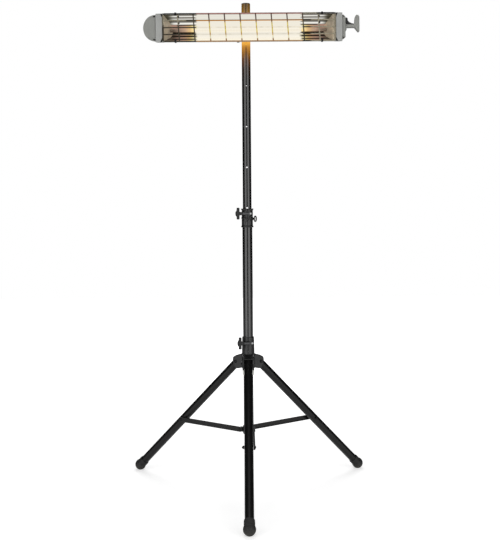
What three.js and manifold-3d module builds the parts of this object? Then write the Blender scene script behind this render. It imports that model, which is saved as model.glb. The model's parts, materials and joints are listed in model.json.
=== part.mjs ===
// Infrared patio heater tower: a lamp head on a telescopic pole and a folding tripod.
// Millimetres, +Z up. The heater faces -Y, its long head lies along X, and the floor is z = 0.

import * as THREE from 'three';
import { mergeVertices } from 'three/addons/utils/BufferGeometryUtils.js';
import Module from 'manifold-3d';

const wasm = await Module();
wasm.setup();

// ---------- driving dimensions ----------

const CLEARANCE = 0.3;              // between touching pieces
const OVERCUT = 5;                  // how far a cutting shape runs past the faces that it opens

const POLE_RADIUS = 17.5;           // upper pole, 35 mm tube
const POLE_WALL = 1.8;
const POLE_BOTTOM = 862;
const POLE_TOP = 1949;
const POLE_HOLE_RADIUS = 3.5;
const POLE_HOLE_FIRST = 965;        // height of the lowest hole, hidden in the base tube
const POLE_HOLE_PITCH = 164;
const POLE_HOLE_COUNT = 6;
const TOP_CAP_HEIGHT = 3;
const PLUG_DEPTH = 20;              // how far caps and plugs reach into a tube
const SLIDER_HEIGHT = 8;            // nylon slider below the upper pole

const TUBE_RADIUS = 20;             // base tube, 40 mm
const TUBE_WALL = 1.8;
const TUBE_BOTTOM = 224;
const TUBE_TOP = 1076;

const COLLAR_BOTTOM = 1053;         // upper collar
const COLLAR_TOP = 1130;
const COLLAR_RADIUS = 22.5;
const COLLAR_FLANGE_RADIUS = 25;
const COLLAR_FLANGE_HEIGHT = 6;
const COLLAR_RING_Z = 1090.5;
const COLLAR_BOLT_Z = 1108.5;
const COLLAR_BOLT_Y = -28;
const COLLAR_BOSS = { left: -20, right: 9 };  // boss of the clamp bolt, along X
const COLLAR_WEB = { left: -12, right: 6 };   // it joins the boss to the sleeve
const COLLAR_BOLT_END = 17;
const COLLAR_BOLT_HEX = 7;
const COLLAR_SLOT = { left: -6, width: 4, lift: 7 };
const PIN_BOSS = { start: 21.5, end: 24.3, radius: 6 };
const WEB_HALF = 5;                 // half the height of a web

const HUB_BOTTOM = 484;             // sliding hub
const HUB_SHOULDER = 543;
const HUB_TOP = 612;
const HUB_TOP_RADIUS = 24;
const HUB_SHOULDER_RADIUS = 25.7;
const HUB_BOLT_Z = 588.5;
const HUB_BOLT_Y = -31;
const HUB_BOSS = { left: -15.5, right: 12 };
const HUB_WEB = { left: -12, right: 9 };
const HUB_BOLT_END = 21;
const HUB_BOLT_HEX = 8;
const HUB_LIP = 6;                  // lip over the top of the bush
const HUB_SLOT_WIDTH = 2;
const HUB_SLOT_BOTTOM = 560;
const HUB_SLOT_HOLE_RADIUS = 3;
const HUB_BUSH_BOTTOM = 458;
const HUB_BUSH_RADIUS = 22.2;
const HUB_BUSH_FLANGE = 24;
const HUB_BUSH_DROP = 8;            // the bush ends this far below the top of the hub
const BUSH_INNER_RADIUS = TUBE_RADIUS + CLEARANCE;

const YOKE_WIDTH = 47.5;            // outside of the two cheeks
const YOKE_CHEEK = 6.5;
const YOKE_REACH = 60;
const YOKE_WEB = 4.5;
const YOKE_ROOT = -15;              // the yoke starts inside the sleeve
const YOKE_TOP = HUB_SHOULDER - 14; // its upper edge at the outer end
const YOKE_TOE = { round: 12, end: 24 };      // lower outer corner, inwards from the reach

const CLAMP_BOSS_RADIUS = 6.5;
const BOLT_RADIUS = 3;              // clamp bolts
const BOLT_HEX_RADIUS = 5.8;

const KNOB_HEIGHT = 47;             // T-shaped clamp knob, tip to tip
const TILT_KNOB_HEIGHT = 33;        // smaller, so that it turns clear of the housing
const KNOB_REACH = 24.5;            // along its bolt
const KNOB_ARM_X = -13.6;           // middle of the arms
const KNOB_ARM = 11.6;              // width of an arm along the bolt
const KNOB_THICKNESS = 14;
const KNOB_NECK_RADIUS = 7;
const KNOB_NECK_END = 2.5;
const KNOB_NECK_FLARE = 1.5;
const COLLAR_KNOB_X = -23;
const HUB_KNOB_X = -18.5;
const TILT_KNOB_X = -12.5;
const CLAMP_KNOB_X = -18;
const CLAMP_STUD_END = 12;
const TILT_BOLT_END = 16;
const TILT_BOLT_HEX = { radius: 7, length: 5 };

const LEG_COUNT = 3;
const LEG_RADIUS = 16.75;
const LEG_WALL = 1.6;
const LEG_PIVOT_R = 47;             // distance from the column axis
const LEG_PIVOT_Z = 511;
const LEG_BORE_START = 14;          // the tube is closed above this distance from its pivot
const LEG_BOLT_RADIUS = 4;
const LEG_BOLT_HEAD = { radius: 7, top: 5, height: 3.5 };
const LEG_BOLT_NUT = { radius: 7, height: 5 };
const DOME_NUT = { radius: 6.5, height: 4.5, domeRadius: 5, domeTop: 1.5, domeHeight: 5 };
const LEG_FOOT_GAP = 10;            // the tube ends this far short of the ball centre

const FOOT_REACH = 544;             // distance of a ball centre from the column axis
const FOOT_BALL_RADIUS = 23;
const FOOT_BALL_Z = 21.2;           // the ball is worn flat on the floor
const FOOT_CUFF_RADIUS = 20;
const FOOT_CUFF_LENGTH = 38;
const FOOT_CUFF_CHAMFER = { width: 1.5, height: 3 };
const FOOT_STEPS = 9;               // facets of the ball from pole to cuff

const BRACE_INNER_R = 28;           // inner pin, on the lower hub
const BRACE_INNER_Z = 237;
const BRACE_PIN_ON_LEG = 378;       // from the leg pivot, along the leg
const BRACE_HEIGHT = 20;
const BRACE_THICKNESS = 6.3;
const BRACE_WALL = 1.8;
const BRACE_SIDE = LEG_RADIUS + 0.6; // the brace starts this far beside the leg axis
const BRACE_BOLT_RADIUS = 3;
const BRACE_GROOVE = { depth: 0.7, half: 3 };
const BRACE_POCKET_START = BRACE_HEIGHT / 2 + 4;
const BRACE_HEAD = { radius: 6, top: 4, height: 3 };
const BRACE_PIN_HEAD = { radius: 5.5, top: 4, height: 2.5 };
const BRACE_PIN_TAIL = { radius: 5, top: 4, height: 2.2 };

const LOWER_HUB_RADIUS = 23.4;
const LOWER_HUB_BOTTOM = 219;
const LOWER_HUB_TOP = 252;
const LOWER_HUB_CHAMFER = { bottom: 3, top: 2 };
const LUG_THICKNESS = 7.5;
const LUG_ROOT = -12;               // the lugs start inside the cup

const PIN_Z = 1087;                 // safety pin
const PIN_RADIUS = 3;
const PIN_HEAD = { start: 24.6, end: 31, radius: 4.6 };
const PIN_EYE_X = 27.8;
const PIN_EYE_RADIUS = 2.5;
const RING_WIRE_RADIUS = 1.6;
const RING_HALF_WIDTH = 6.2;
const RING_HALF_HEIGHT = 11.4;

const HEAD_Z = 1826;                // lamp head
const TILT_Y = -44;                 // tilt axis, in front of the pole axis
const HEAD_LEFT = -322.3;           // ends of the housing
const HEAD_RIGHT = 346.7;
const HEAD_BACK = -22.3;            // from the tilt axis
const HEAD_DEPTH = 90;
const HEAD_FRONT_HALF = 56;
const HEAD_BACK_HALF = 39;
const HEAD_LIP = 6;
const SHEET = 1.6;

const REFLECTOR_FRONT = -109.3;
const REFLECTOR_BACK = -33.3;
const REFLECTOR_HALF = 50;
const REFLECTOR_VERTEX_HALF = 9;
const REFLECTOR_FLUTES = 5;         // flutes on each side of the vertex
const REFLECTOR_SHEET = 1;
const REFLECTOR_LEFT = -317.5;      // front edges of the slanted end plates
const REFLECTOR_RIGHT = 335.7;
const REFLECTOR_END_SLOPE = 30;     // how far an end plate leans in towards the back
const REFLECTOR_END_GAP = 0.8;
const REFLECTOR_END_SHEET = 1.5;
const REFLECTOR_LIP_SHEET = 1;

const LAMP_Y = -53.3;
const LAMP_RADIUS = 6;
const LAMP_LEFT = -310;
const LAMP_RIGHT = 328;
const HOLDER_SIZE = { x: 24, y: 20, z: 22 };
const HOLDER_OVERLAP = 8;           // how far a holder reaches over the lamp's end
const LAMP_HOLE_GAP = 1.5;

const WIRE_RADIUS = 2.4;            // guard
const GUARD_Y = -115.2;
const GUARD_PITCH = 60.1;
const GUARD_WIRES = 10;
const GUARD_FIRST = -259.4;
const GUARD_SLANT = 8;              // the cross wires lean by this much over their height
const GUARD_ROW_PITCH = 26.5;
const GUARD_RIM_HALF = HEAD_FRONT_HALF - 3;
const GUARD_END_GAP = 4;            // the long wires stop this far inside the housing's ends
const GUARD_CROSS_LIFT = 0.4;       // the cross wires lie slightly in front of the long ones
const CLIP_X = [-271, 293];
const CLIP = { width: 8, low: 45, gap: 0.6, over: 15, sheet: 1.5, top: 1.5, lip: 1.2 };

const FLANGE_HALF = 55.8;
const FLANGE_FRONT = -113.5;
const FLANGE_BACK = -20.6;
const FLANGE_WALL = 3;
const FLANGE_BACK_STEP = 1;         // a frame stands this far above the housing at the back
const LEFT_FLANGE_WIDTH = 25.3;
const RIGHT_FLANGE_WIDTH = 24.3;
const END_TAPER = 0.73;             // back height of the end caps, as a share of the front
const DOME_REACH = 48;
const DOME_STRAIGHT = 2;            // straight part before the curve
const DOME_HALF = 51.2;
const DOME_FRONT = -108;
const DOME_BACK = -26;
const DOME_WALL = 2.5;
const CAP_REACH = 12.6;
const CAP_HALF = 47.5;
const CAP_CHAMFER = 8;

const GRIP_Y = -92;                 // middle of the neck and grip
const GRIP_DEPTH = 24;
const NECK_LOW = -0.8;
const NECK_HIGH = 10.3;
const NECK_LENGTH = 34.4;
const GRIP_THICKNESS = 19.5;
const GRIP_UP = 46.6;
const GRIP_DOWN = 17.2;
const INLET_HALF_DEPTH = 7;
const TERMINAL = { gap: 4, length: 14, front: -92, back: -56, half: 11, wayRadius: 2.4 };
const TERMINAL_WAYS = [-84, -74, -64];

const BRACKET_PLATE = { x: 90, y: 3, z: 56 };
const BRACKET_CHEEK = 4;
const BRACKET_CHEEK_HALF = 11;
const LUG_HALF = 5;                 // half the thickness of the lug on the pole clamp
const CLAMP_HALF_HEIGHT = 22;
const CLAMP_RADIUS = 24;
const CLAMP_CHAMFER = 2;
const CLAMP_BOLT_Y = 30;
const CLAMP_BOSS = { half: 15, beyond: 8, halfHeight: 10 };
const CLAMP_SLOT_WIDTH = 4;
const TILT_BOLT_RADIUS = 4;

const ROUND = 24;                   // sides of the large round pieces
const SMALL_ROUND = 12;
const WIRE_SIDES = 6;

// ---------- worked out from them ----------

const legDrop = LEG_PIVOT_Z - FOOT_BALL_Z;
const legSpread = FOOT_REACH - LEG_PIVOT_R;
const legAngle = Math.atan2(legSpread, legDrop);
const legLength = Math.hypot(legSpread, legDrop);
const bracePinR = LEG_PIVOT_R + BRACE_PIN_ON_LEG * Math.sin(legAngle);
const bracePinZ = LEG_PIVOT_Z - BRACE_PIN_ON_LEG * Math.cos(legAngle);
const braceLength = Math.hypot(bracePinR - BRACE_INNER_R, bracePinZ - BRACE_INNER_Z);
const braceAngle = Math.atan2(bracePinZ - BRACE_INNER_Z, bracePinR - BRACE_INNER_R);
const headFront = HEAD_BACK - HEAD_DEPTH;
const flangeLeft = HEAD_LEFT - CLEARANCE - LEFT_FLANGE_WIDTH;
const flangeRight = HEAD_RIGHT + CLEARANCE + RIGHT_FLANGE_WIDTH;
const capRight = flangeRight + CLEARANCE + CAP_REACH;

// ---------- materials ----------

const paint = (color, roughness, metalness) =>
  new THREE.MeshStandardMaterial({ color, roughness, metalness });
const blackPowderCoat = paint(0x151515, 0.45, 0.3);
const blackPlastic = paint(0x1d1e1e, 0.5, 0);
const blackRubber = paint(0x121212, 0.8, 0);
const paleNylon = paint(0xdcdcd6, 0.5, 0);
const steel = paint(0xb9bab8, 0.3, 1);
const blackSteel = paint(0x1a1a1a, 0.4, 0.6);
const greyPaint = paint(0x8d8e8a, 0.45, 0.2);
const mirror = paint(0xcfc3b2, 0.15, 1);
const quartz = paint(0xfff0c8, 0.1, 0);
const porcelain = paint(0xe4ded0, 0.4, 0);
const bronzeWire = paint(0x5c4a38, 0.4, 0.8);

// ---------- shape helpers ----------

const AXIS_X = new THREE.Vector3(1, 0, 0);
const AXIS_Y = new THREE.Vector3(0, 1, 0);
const AXIS_Z = new THREE.Vector3(0, 0, 1);

// A geometry as a solid for joining and cutting.
function toSolid(geometry) {
  const bare = geometry.clone();
  bare.deleteAttribute('normal');
  bare.deleteAttribute('uv');
  const merged = mergeVertices(bare, 1e-4);
  const index = merged.index.array;
  const kept = [];
  for (let i = 0; i < index.length; i += 3) {
    const [a, b, c] = [index[i], index[i + 1], index[i + 2]];
    if (a !== b && b !== c && c !== a) kept.push(a, b, c);
  }
  return new wasm.Manifold(new wasm.Mesh({
    numProp: 3,
    vertProperties: new Float32Array(merged.attributes.position.array),
    triVerts: new Uint32Array(kept),
  }));
}

function toGeometry(solid) {
  const mesh = solid.getMesh();
  const geometry = new THREE.BufferGeometry();
  geometry.setAttribute('position', new THREE.BufferAttribute(new Float32Array(mesh.vertProperties), 3));
  geometry.setIndex(new THREE.BufferAttribute(new Uint32Array(mesh.triVerts), 1));
  geometry.computeVertexNormals();
  return geometry;
}

const joined = (...geometries) => toGeometry(
  geometries.map(toSolid).reduce((sum, solid) => sum.add(solid)));
const cut = (geometry, ...tools) => toGeometry(
  tools.map(toSolid).reduce((rest, tool) => rest.subtract(tool), toSolid(geometry)));
const common = (a, b) => toGeometry(toSolid(a).intersect(toSolid(b)));

function block(x0, x1, y0, y1, z0, z1) {
  const geometry = new THREE.BoxGeometry(x1 - x0, y1 - y0, z1 - z0);
  return geometry.translate((x0 + x1) / 2, (y0 + y1) / 2, (z0 + z1) / 2);
}

// A round bar between two points.
function bar(from, to, radius, sides = SMALL_ROUND, endRadius = radius) {
  const start = new THREE.Vector3(...from);
  const along = new THREE.Vector3(...to).sub(start);
  const geometry = new THREE.CylinderGeometry(endRadius, radius, along.length(), sides);
  geometry.translate(0, along.length() / 2, 0);
  geometry.applyQuaternion(new THREE.Quaternion().setFromUnitVectors(AXIS_Y, along.normalize()));
  return geometry.translate(start.x, start.y, start.z);
}

// A turned piece about Z. The outline is a list of [radius, z], counter-clockwise in that plane.
function turned(outline, sides = ROUND, closed = false) {
  const points = outline.map(([r, z]) => new THREE.Vector2(r, z));
  if (closed) points.push(points[0].clone());
  return new THREE.LatheGeometry(points, sides).rotateX(Math.PI / 2);
}

const ring = (inner, outer, z0, z1, sides = ROUND) => turned(
  [[outer, z0], [outer, z1], [inner, z1], [inner, z0]], sides, true);

function outlineShape(points) {
  return new THREE.Shape(points.map(([u, v]) => new THREE.Vector2(u, v)));
}

// Extrusions of an outline: [y, z] along X, [x, z] along Y, [x, y] along Z.
function alongX(shape, x0, x1, curveSegments = 12) {
  const geometry = new THREE.ExtrudeGeometry(shape, { depth: x1 - x0, bevelEnabled: false, curveSegments });
  geometry.applyMatrix4(new THREE.Matrix4().makeBasis(AXIS_Y, AXIS_Z, AXIS_X));
  return geometry.translate(x0, 0, 0);
}

function alongY(shape, y0, y1, curveSegments = 12) {
  const geometry = new THREE.ExtrudeGeometry(shape, { depth: y1 - y0, bevelEnabled: false, curveSegments });
  return geometry.rotateX(Math.PI / 2).translate(0, y1, 0);
}

// A strip of even thickness to the right of an open path of [u, v] points.
function strip(path, thickness) {
  const points = path.map(([u, v]) => new THREE.Vector2(u, v));
  const inner = points.map((point, i) => {
    const before = points[Math.max(i - 1, 0)];
    const after = points[Math.min(i + 1, points.length - 1)];
    const first = point.clone().sub(i > 0 ? before : point).normalize();
    const second = after.clone().sub(i < points.length - 1 ? point : after).normalize();
    const a = i > 0 ? first : second;
    const b = i < points.length - 1 ? second : first;
    const middle = a.clone().add(b).normalize();
    const stretch = 1 / middle.dot(a);
    return new THREE.Vector2(middle.y, -middle.x).multiplyScalar(thickness * stretch).add(point);
  });
  return new THREE.Shape([...points, ...inner.reverse()]);
}

// A rectangle with round ends in the plane of an extrusion, from u0 to u1.
function stadium(u0, u1, half) {
  const shape = new THREE.Shape();
  shape.absarc(u1, 0, half, -Math.PI / 2, Math.PI / 2, false);
  shape.absarc(u0, 0, half, Math.PI / 2, Math.PI * 1.5, false);
  return shape;
}

const hexBar = (from, to, radius) => bar(from, to, radius, 6);

function piece(name, geometry, material) {
  const mesh = new THREE.Mesh(geometry, material);
  mesh.name = name;
  return mesh;
}

// ---------- clamp knob and bolt ----------

// A T-shaped knob at the origin that turns about X and reaches towards -X.
function knobBody(height = KNOB_HEIGHT) {
  const half = height / 2;
  const tip = KNOB_ARM / 2;
  const near = KNOB_ARM_X + tip;
  const far = KNOB_ARM_X - tip;
  const shape = new THREE.Shape();
  shape.moveTo(near - 1, -half);
  shape.lineTo(near, -half + 2);
  shape.lineTo(near + 1, -half / 2);
  shape.quadraticCurveTo(near + 3, -KNOB_NECK_RADIUS, 0, -KNOB_NECK_RADIUS + 1);
  shape.lineTo(0, KNOB_NECK_RADIUS - 1);
  shape.quadraticCurveTo(near + 3, KNOB_NECK_RADIUS, near + 1, half / 2);
  shape.lineTo(near, half - 2);
  shape.lineTo(near - 1, half);
  shape.lineTo(far + 1, half);
  shape.lineTo(far, half - 2);
  shape.quadraticCurveTo(-2 * KNOB_REACH - far, 0, far, -half + 2);
  shape.lineTo(far + 1, -half);
  const wings = alongY(shape, -KNOB_THICKNESS / 2, KNOB_THICKNESS / 2, 6);
  const neck = bar([KNOB_ARM_X, 0, 0], [KNOB_NECK_END, 0, 0], KNOB_NECK_RADIUS + KNOB_NECK_FLARE,
    SMALL_ROUND, KNOB_NECK_RADIUS - 1);
  return joined(wings, neck);
}

// The knob with the blind bore that its bolt ends in.
function clampKnob(boltRadius, height = KNOB_HEIGHT) {
  return cut(knobBody(height), bar([KNOB_ARM_X - 1, 0, 0], [OVERCUT, 0, 0], boltRadius + CLEARANCE));
}

// A knob moulded round its own stud.
function studKnob(studLength) {
  return joined(knobBody(), bar([KNOB_ARM_X, 0, 0], [studLength, 0, 0], BOLT_RADIUS));
}

// The bolt that runs into a knob: a hexagon at its free end, x = tail.
function clampBolt(tail, hexLength, radius = BOLT_RADIUS, hexRadius = BOLT_HEX_RADIUS) {
  return joined(
    bar([KNOB_ARM_X, 0, 0], [tail - hexLength + 1, 0, 0], radius),
    hexBar([tail - hexLength, 0, 0], [tail, 0, 0], hexRadius),
  );
}

// ---------- column ----------

function basePieces() {
  const group = new THREE.Group();
  const inner = TUBE_RADIUS - TUBE_WALL;
  group.add(piece('base_tube', ring(inner, TUBE_RADIUS, TUBE_BOTTOM, TUBE_TOP), blackPowderCoat));
  group.add(piece('upper_collar', upperCollar(), blackPlastic));
  const bush = ring(POLE_RADIUS + CLEARANCE, TUBE_RADIUS, TUBE_TOP + CLEARANCE, COLLAR_TOP - 1);
  group.add(piece('collar_bush', bush, paleNylon));
  group.add(piece('lower_hub', lowerHub(), blackPlastic));
  return group;
}

function upperCollar() {
  const inner = TUBE_RADIUS + CLEARANCE;
  const lowerFlange = COLLAR_BOTTOM + COLLAR_FLANGE_HEIGHT;
  const upperFlange = COLLAR_TOP - COLLAR_FLANGE_HEIGHT;
  const sleeve = turned([
    [inner, COLLAR_BOTTOM],
    [COLLAR_FLANGE_RADIUS - 2, COLLAR_BOTTOM],
    [COLLAR_FLANGE_RADIUS, COLLAR_BOTTOM + 2],
    [COLLAR_FLANGE_RADIUS, lowerFlange - 1],
    [COLLAR_RADIUS, lowerFlange + 1],
    [COLLAR_RADIUS, COLLAR_RING_Z - 3],
    [COLLAR_FLANGE_RADIUS - 1, COLLAR_RING_Z - 2],
    [COLLAR_FLANGE_RADIUS - 1, COLLAR_RING_Z + 2],
    [COLLAR_RADIUS, COLLAR_RING_Z + 3],
    [COLLAR_RADIUS, upperFlange],
    [COLLAR_FLANGE_RADIUS, upperFlange + 1],
    [COLLAR_FLANGE_RADIUS, COLLAR_TOP - 1],
    [COLLAR_FLANGE_RADIUS - 1, COLLAR_TOP],
    [inner, COLLAR_TOP],
  ], ROUND, true);
  const bolt = [COLLAR_BOLT_Y, COLLAR_BOLT_Z];
  const boss = bar([COLLAR_BOSS.left, ...bolt], [COLLAR_BOSS.right, ...bolt], CLAMP_BOSS_RADIUS);
  const web = block(COLLAR_WEB.left, COLLAR_WEB.right, COLLAR_BOLT_Y, -inner - CLEARANCE,
    COLLAR_BOLT_Z - WEB_HALF, COLLAR_BOLT_Z + WEB_HALF);
  const pinBoss = bar([PIN_BOSS.start, 0, PIN_Z], [PIN_BOSS.end, 0, PIN_Z], PIN_BOSS.radius);
  const bore = bar([COLLAR_BOSS.left - OVERCUT, ...bolt], [COLLAR_BOSS.right + OVERCUT, ...bolt],
    BOLT_RADIUS + CLEARANCE);
  const slot = block(COLLAR_SLOT.left, COLLAR_SLOT.left + COLLAR_SLOT.width, 2 * COLLAR_BOLT_Y,
    OVERCUT - inner, COLLAR_BOTTOM + COLLAR_SLOT.lift, COLLAR_TOP + OVERCUT);
  const pinHole = bar([inner - OVERCUT, 0, PIN_Z], [PIN_BOSS.end + OVERCUT, 0, PIN_Z],
    PIN_RADIUS + CLEARANCE);
  return cut(joined(sleeve, boss, web, pinBoss), bore, slot, pinHole);
}

function lowerHub() {
  const inner = TUBE_RADIUS + CLEARANCE;
  const cup = turned([
    [0, LOWER_HUB_BOTTOM],
    [LOWER_HUB_RADIUS - LOWER_HUB_CHAMFER.bottom, LOWER_HUB_BOTTOM],
    [LOWER_HUB_RADIUS, LOWER_HUB_BOTTOM + LOWER_HUB_CHAMFER.bottom],
    [LOWER_HUB_RADIUS, LOWER_HUB_TOP - LOWER_HUB_CHAMFER.top],
    [LOWER_HUB_RADIUS - LOWER_HUB_CHAMFER.top, LOWER_HUB_TOP],
    [inner, LOWER_HUB_TOP],
    [inner, TUBE_BOTTOM - CLEARANCE],
    [0, TUBE_BOTTOM - CLEARANCE],
  ]);
  const side = BRACE_SIDE - CLEARANCE;
  const lugs = [];
  const holes = [];
  for (let i = 0; i < LEG_COUNT; i++) {
    const turn = i * 2 * Math.PI / LEG_COUNT;
    const half = BRACE_HEIGHT / 2;
    const lug = alongX(stadium(-BRACE_INNER_R, LUG_ROOT, half), side - LUG_THICKNESS, side);
    lugs.push(lug.translate(0, 0, BRACE_INNER_Z).rotateZ(turn));
    const pin = [-BRACE_INNER_R, BRACE_INNER_Z];
    const hole = bar([0, ...pin], [side + OVERCUT, ...pin], BRACE_BOLT_RADIUS + CLEARANCE);
    holes.push(hole.rotateZ(turn));
  }
  const floor = TUBE_BOTTOM - CLEARANCE;
  const mouth = LOWER_HUB_TOP + OVERCUT;
  const bore = turned([[0, floor], [inner, floor], [inner, mouth], [0, mouth]]);
  return cut(joined(cup, ...lugs), bore, ...holes);
}

function mastPieces() {
  const group = new THREE.Group();
  const inner = POLE_RADIUS - POLE_WALL;
  const stem = inner - CLEARANCE;
  const holes = [];
  for (let i = 0; i < POLE_HOLE_COUNT; i++) {
    const z = POLE_HOLE_FIRST + i * POLE_HOLE_PITCH;
    const reach = POLE_RADIUS + OVERCUT;
    holes.push(bar([0, -reach, z], [0, reach, z], POLE_HOLE_RADIUS));
  }
  const tube = cut(ring(inner, POLE_RADIUS, POLE_BOTTOM, POLE_TOP), ...holes);
  group.add(piece('upper_pole', tube, blackPowderCoat));
  const cap = turned([
    [0, POLE_TOP - PLUG_DEPTH],
    [stem, POLE_TOP - PLUG_DEPTH],
    [stem, POLE_TOP + CLEARANCE],
    [POLE_RADIUS, POLE_TOP + CLEARANCE],
    [POLE_RADIUS, POLE_TOP + 1.5],
    [POLE_RADIUS - 2.5, POLE_TOP + TOP_CAP_HEIGHT],
    [0, POLE_TOP + TOP_CAP_HEIGHT],
  ]);
  group.add(piece('top_cap', cap, blackPlastic));
  const sliderRadius = TUBE_RADIUS - TUBE_WALL - 2 * CLEARANCE;
  const slider = turned([
    [0, POLE_BOTTOM - SLIDER_HEIGHT],
    [sliderRadius, POLE_BOTTOM - SLIDER_HEIGHT],
    [sliderRadius, POLE_BOTTOM - CLEARANCE],
    [stem, POLE_BOTTOM - CLEARANCE],
    [stem, POLE_BOTTOM + PLUG_DEPTH],
    [0, POLE_BOTTOM + PLUG_DEPTH],
  ]);
  group.add(piece('pole_slider', slider, paleNylon));
  return group;
}

// ---------- safety pin ----------

// The pin sits in the side of the upper collar, and a wire ring hangs in the eye of its head.
function safetyPinPieces() {
  const group = new THREE.Group();
  const shankStart = TUBE_RADIUS + 2 * CLEARANCE;
  const eyeReach = PIN_HEAD.radius + OVERCUT;
  const pin = cut(
    joined(
      bar([shankStart, 0, 0], [PIN_HEAD.start + 1, 0, 0], PIN_RADIUS),
      bar([PIN_HEAD.start, 0, 0], [PIN_HEAD.end, 0, 0], PIN_HEAD.radius),
    ),
    bar([PIN_EYE_X, 0, -eyeReach], [PIN_EYE_X, 0, eyeReach], PIN_EYE_RADIUS),
  );
  group.add(piece('safety_pin', pin, blackSteel));
  const wire = new THREE.TorusGeometry(RING_HALF_HEIGHT, RING_WIRE_RADIUS, WIRE_SIDES, ROUND);
  wire.scale(RING_HALF_WIDTH / RING_HALF_HEIGHT, 1, 1).rotateX(Math.PI / 2);
  const loop = piece('pin_ring', wire, blackSteel);
  loop.position.x = PIN_EYE_X + RING_HALF_WIDTH;
  group.add(loop);
  group.position.z = PIN_Z;
  return group;
}

// ---------- sliding hub ----------

function hubPieces() {
  const group = new THREE.Group();
  group.add(piece('hub', hubCasting(), blackPlastic));
  const bush = turned([
    [BUSH_INNER_RADIUS, HUB_BUSH_BOTTOM],
    [HUB_BUSH_FLANGE - 1, HUB_BUSH_BOTTOM],
    [HUB_BUSH_FLANGE, HUB_BUSH_BOTTOM + 1],
    [HUB_BUSH_FLANGE, HUB_BOTTOM - CLEARANCE],
    [HUB_BUSH_RADIUS, HUB_BOTTOM - CLEARANCE],
    [HUB_BUSH_RADIUS, HUB_TOP - HUB_BUSH_DROP],
    [BUSH_INNER_RADIUS, HUB_TOP - HUB_BUSH_DROP],
  ], ROUND, true);
  group.add(piece('hub_bush', bush, paleNylon));
  return group;
}

function hubCasting() {
  const inner = HUB_BUSH_RADIUS + CLEARANCE;
  const sleeve = turned([
    [inner, HUB_BOTTOM],
    [HUB_SHOULDER_RADIUS, HUB_BOTTOM],
    [HUB_SHOULDER_RADIUS, HUB_SHOULDER],
    [HUB_TOP_RADIUS, HUB_TOP - 1.5],
    [HUB_TOP_RADIUS - 1, HUB_TOP],
    [inner, HUB_TOP],
  ], ROUND, true);
  const lip = ring(BUSH_INNER_RADIUS, HUB_TOP_RADIUS - 1.2, HUB_TOP - HUB_LIP, HUB_TOP);
  const bolt = [HUB_BOLT_Y, HUB_BOLT_Z];
  const boss = bar([HUB_BOSS.left, ...bolt], [HUB_BOSS.right, ...bolt], CLAMP_BOSS_RADIUS);
  const web = block(HUB_WEB.left, HUB_WEB.right, HUB_BOLT_Y, -inner - CLEARANCE,
    HUB_BOLT_Z - WEB_HALF, HUB_BOLT_Z + WEB_HALF);
  const yokes = [];
  const spaces = [];
  for (let i = 0; i < LEG_COUNT; i++) {
    const turn = i * 2 * Math.PI / LEG_COUNT;
    yokes.push(yoke().rotateZ(turn));
    spaces.push(yokeSpace().rotateZ(turn));
    const pivot = [-LEG_PIVOT_R, LEG_PIVOT_Z];
    const hole = bar([-YOKE_WIDTH, ...pivot], [YOKE_WIDTH, ...pivot], LEG_BOLT_RADIUS + CLEARANCE);
    spaces.push(hole.rotateZ(turn));
  }
  const step = HUB_TOP - HUB_BUSH_DROP + CLEARANCE;
  const bore = turned([
    [0, HUB_BOTTOM - OVERCUT],
    [inner, HUB_BOTTOM - OVERCUT],
    [inner, step],
    [BUSH_INNER_RADIUS, step],
    [BUSH_INNER_RADIUS, HUB_TOP + OVERCUT],
    [0, HUB_TOP + OVERCUT],
  ]);
  const boltBore = bar([HUB_BOSS.left - OVERCUT, ...bolt], [HUB_BOSS.right + OVERCUT, ...bolt],
    BOLT_RADIUS + CLEARANCE);
  const half = HUB_SLOT_WIDTH / 2;
  const slot = block(-half, half, 2 * HUB_BOLT_Y, OVERCUT - inner, HUB_SLOT_BOTTOM, HUB_TOP + OVERCUT);
  const slotHole = bar([0, -inner - OVERCUT, HUB_SLOT_BOTTOM], [0, OVERCUT - inner, HUB_SLOT_BOTTOM],
    HUB_SLOT_HOLE_RADIUS);
  return cut(joined(sleeve, lip, boss, web, ...yokes), bore, boltBore, slot, slotHole, ...spaces);
}

// One yoke, towards -Y: a block with a sloping top and rounded corners.
function yoke() {
  const reach = -YOKE_REACH;
  const top = YOKE_TOP;
  const shape = new THREE.Shape();
  shape.moveTo(YOKE_ROOT, HUB_BOTTOM + 4);
  shape.lineTo(YOKE_ROOT, HUB_SHOULDER + 2);
  shape.lineTo(-HUB_SHOULDER_RADIUS, HUB_SHOULDER);
  shape.quadraticCurveTo(-45, HUB_SHOULDER - 5, reach + 3, top);
  shape.quadraticCurveTo(reach, top - 2, reach, top - 6);
  shape.lineTo(reach, LEG_PIVOT_Z - 2);
  shape.quadraticCurveTo(reach + 1, LEG_PIVOT_Z - 20, reach + YOKE_TOE.round, HUB_BOTTOM - 1);
  shape.lineTo(reach + YOKE_TOE.end, HUB_BOTTOM - 1);
  return alongX(shape, -YOKE_WIDTH / 2, YOKE_WIDTH / 2, 5);
}

// The room for the leg between the cheeks.
function yokeSpace() {
  const half = YOKE_WIDTH / 2 - YOKE_CHEEK;
  const inner = -HUB_SHOULDER_RADIUS - 1.2;
  const outer = -YOKE_REACH - OVERCUT;
  const ceiling = HUB_SHOULDER - YOKE_WEB;      // it follows the sloping top of the yoke
  const below = HUB_BOTTOM - 2 * OVERCUT;
  const shape = outlineShape([
    [inner, below],
    [inner, ceiling - 3],
    [-45, ceiling - 7],
    [outer, ceiling - 14],
    [outer, below],
  ]);
  return alongX(shape, -half, half);
}

// ---------- legs ----------

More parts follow.
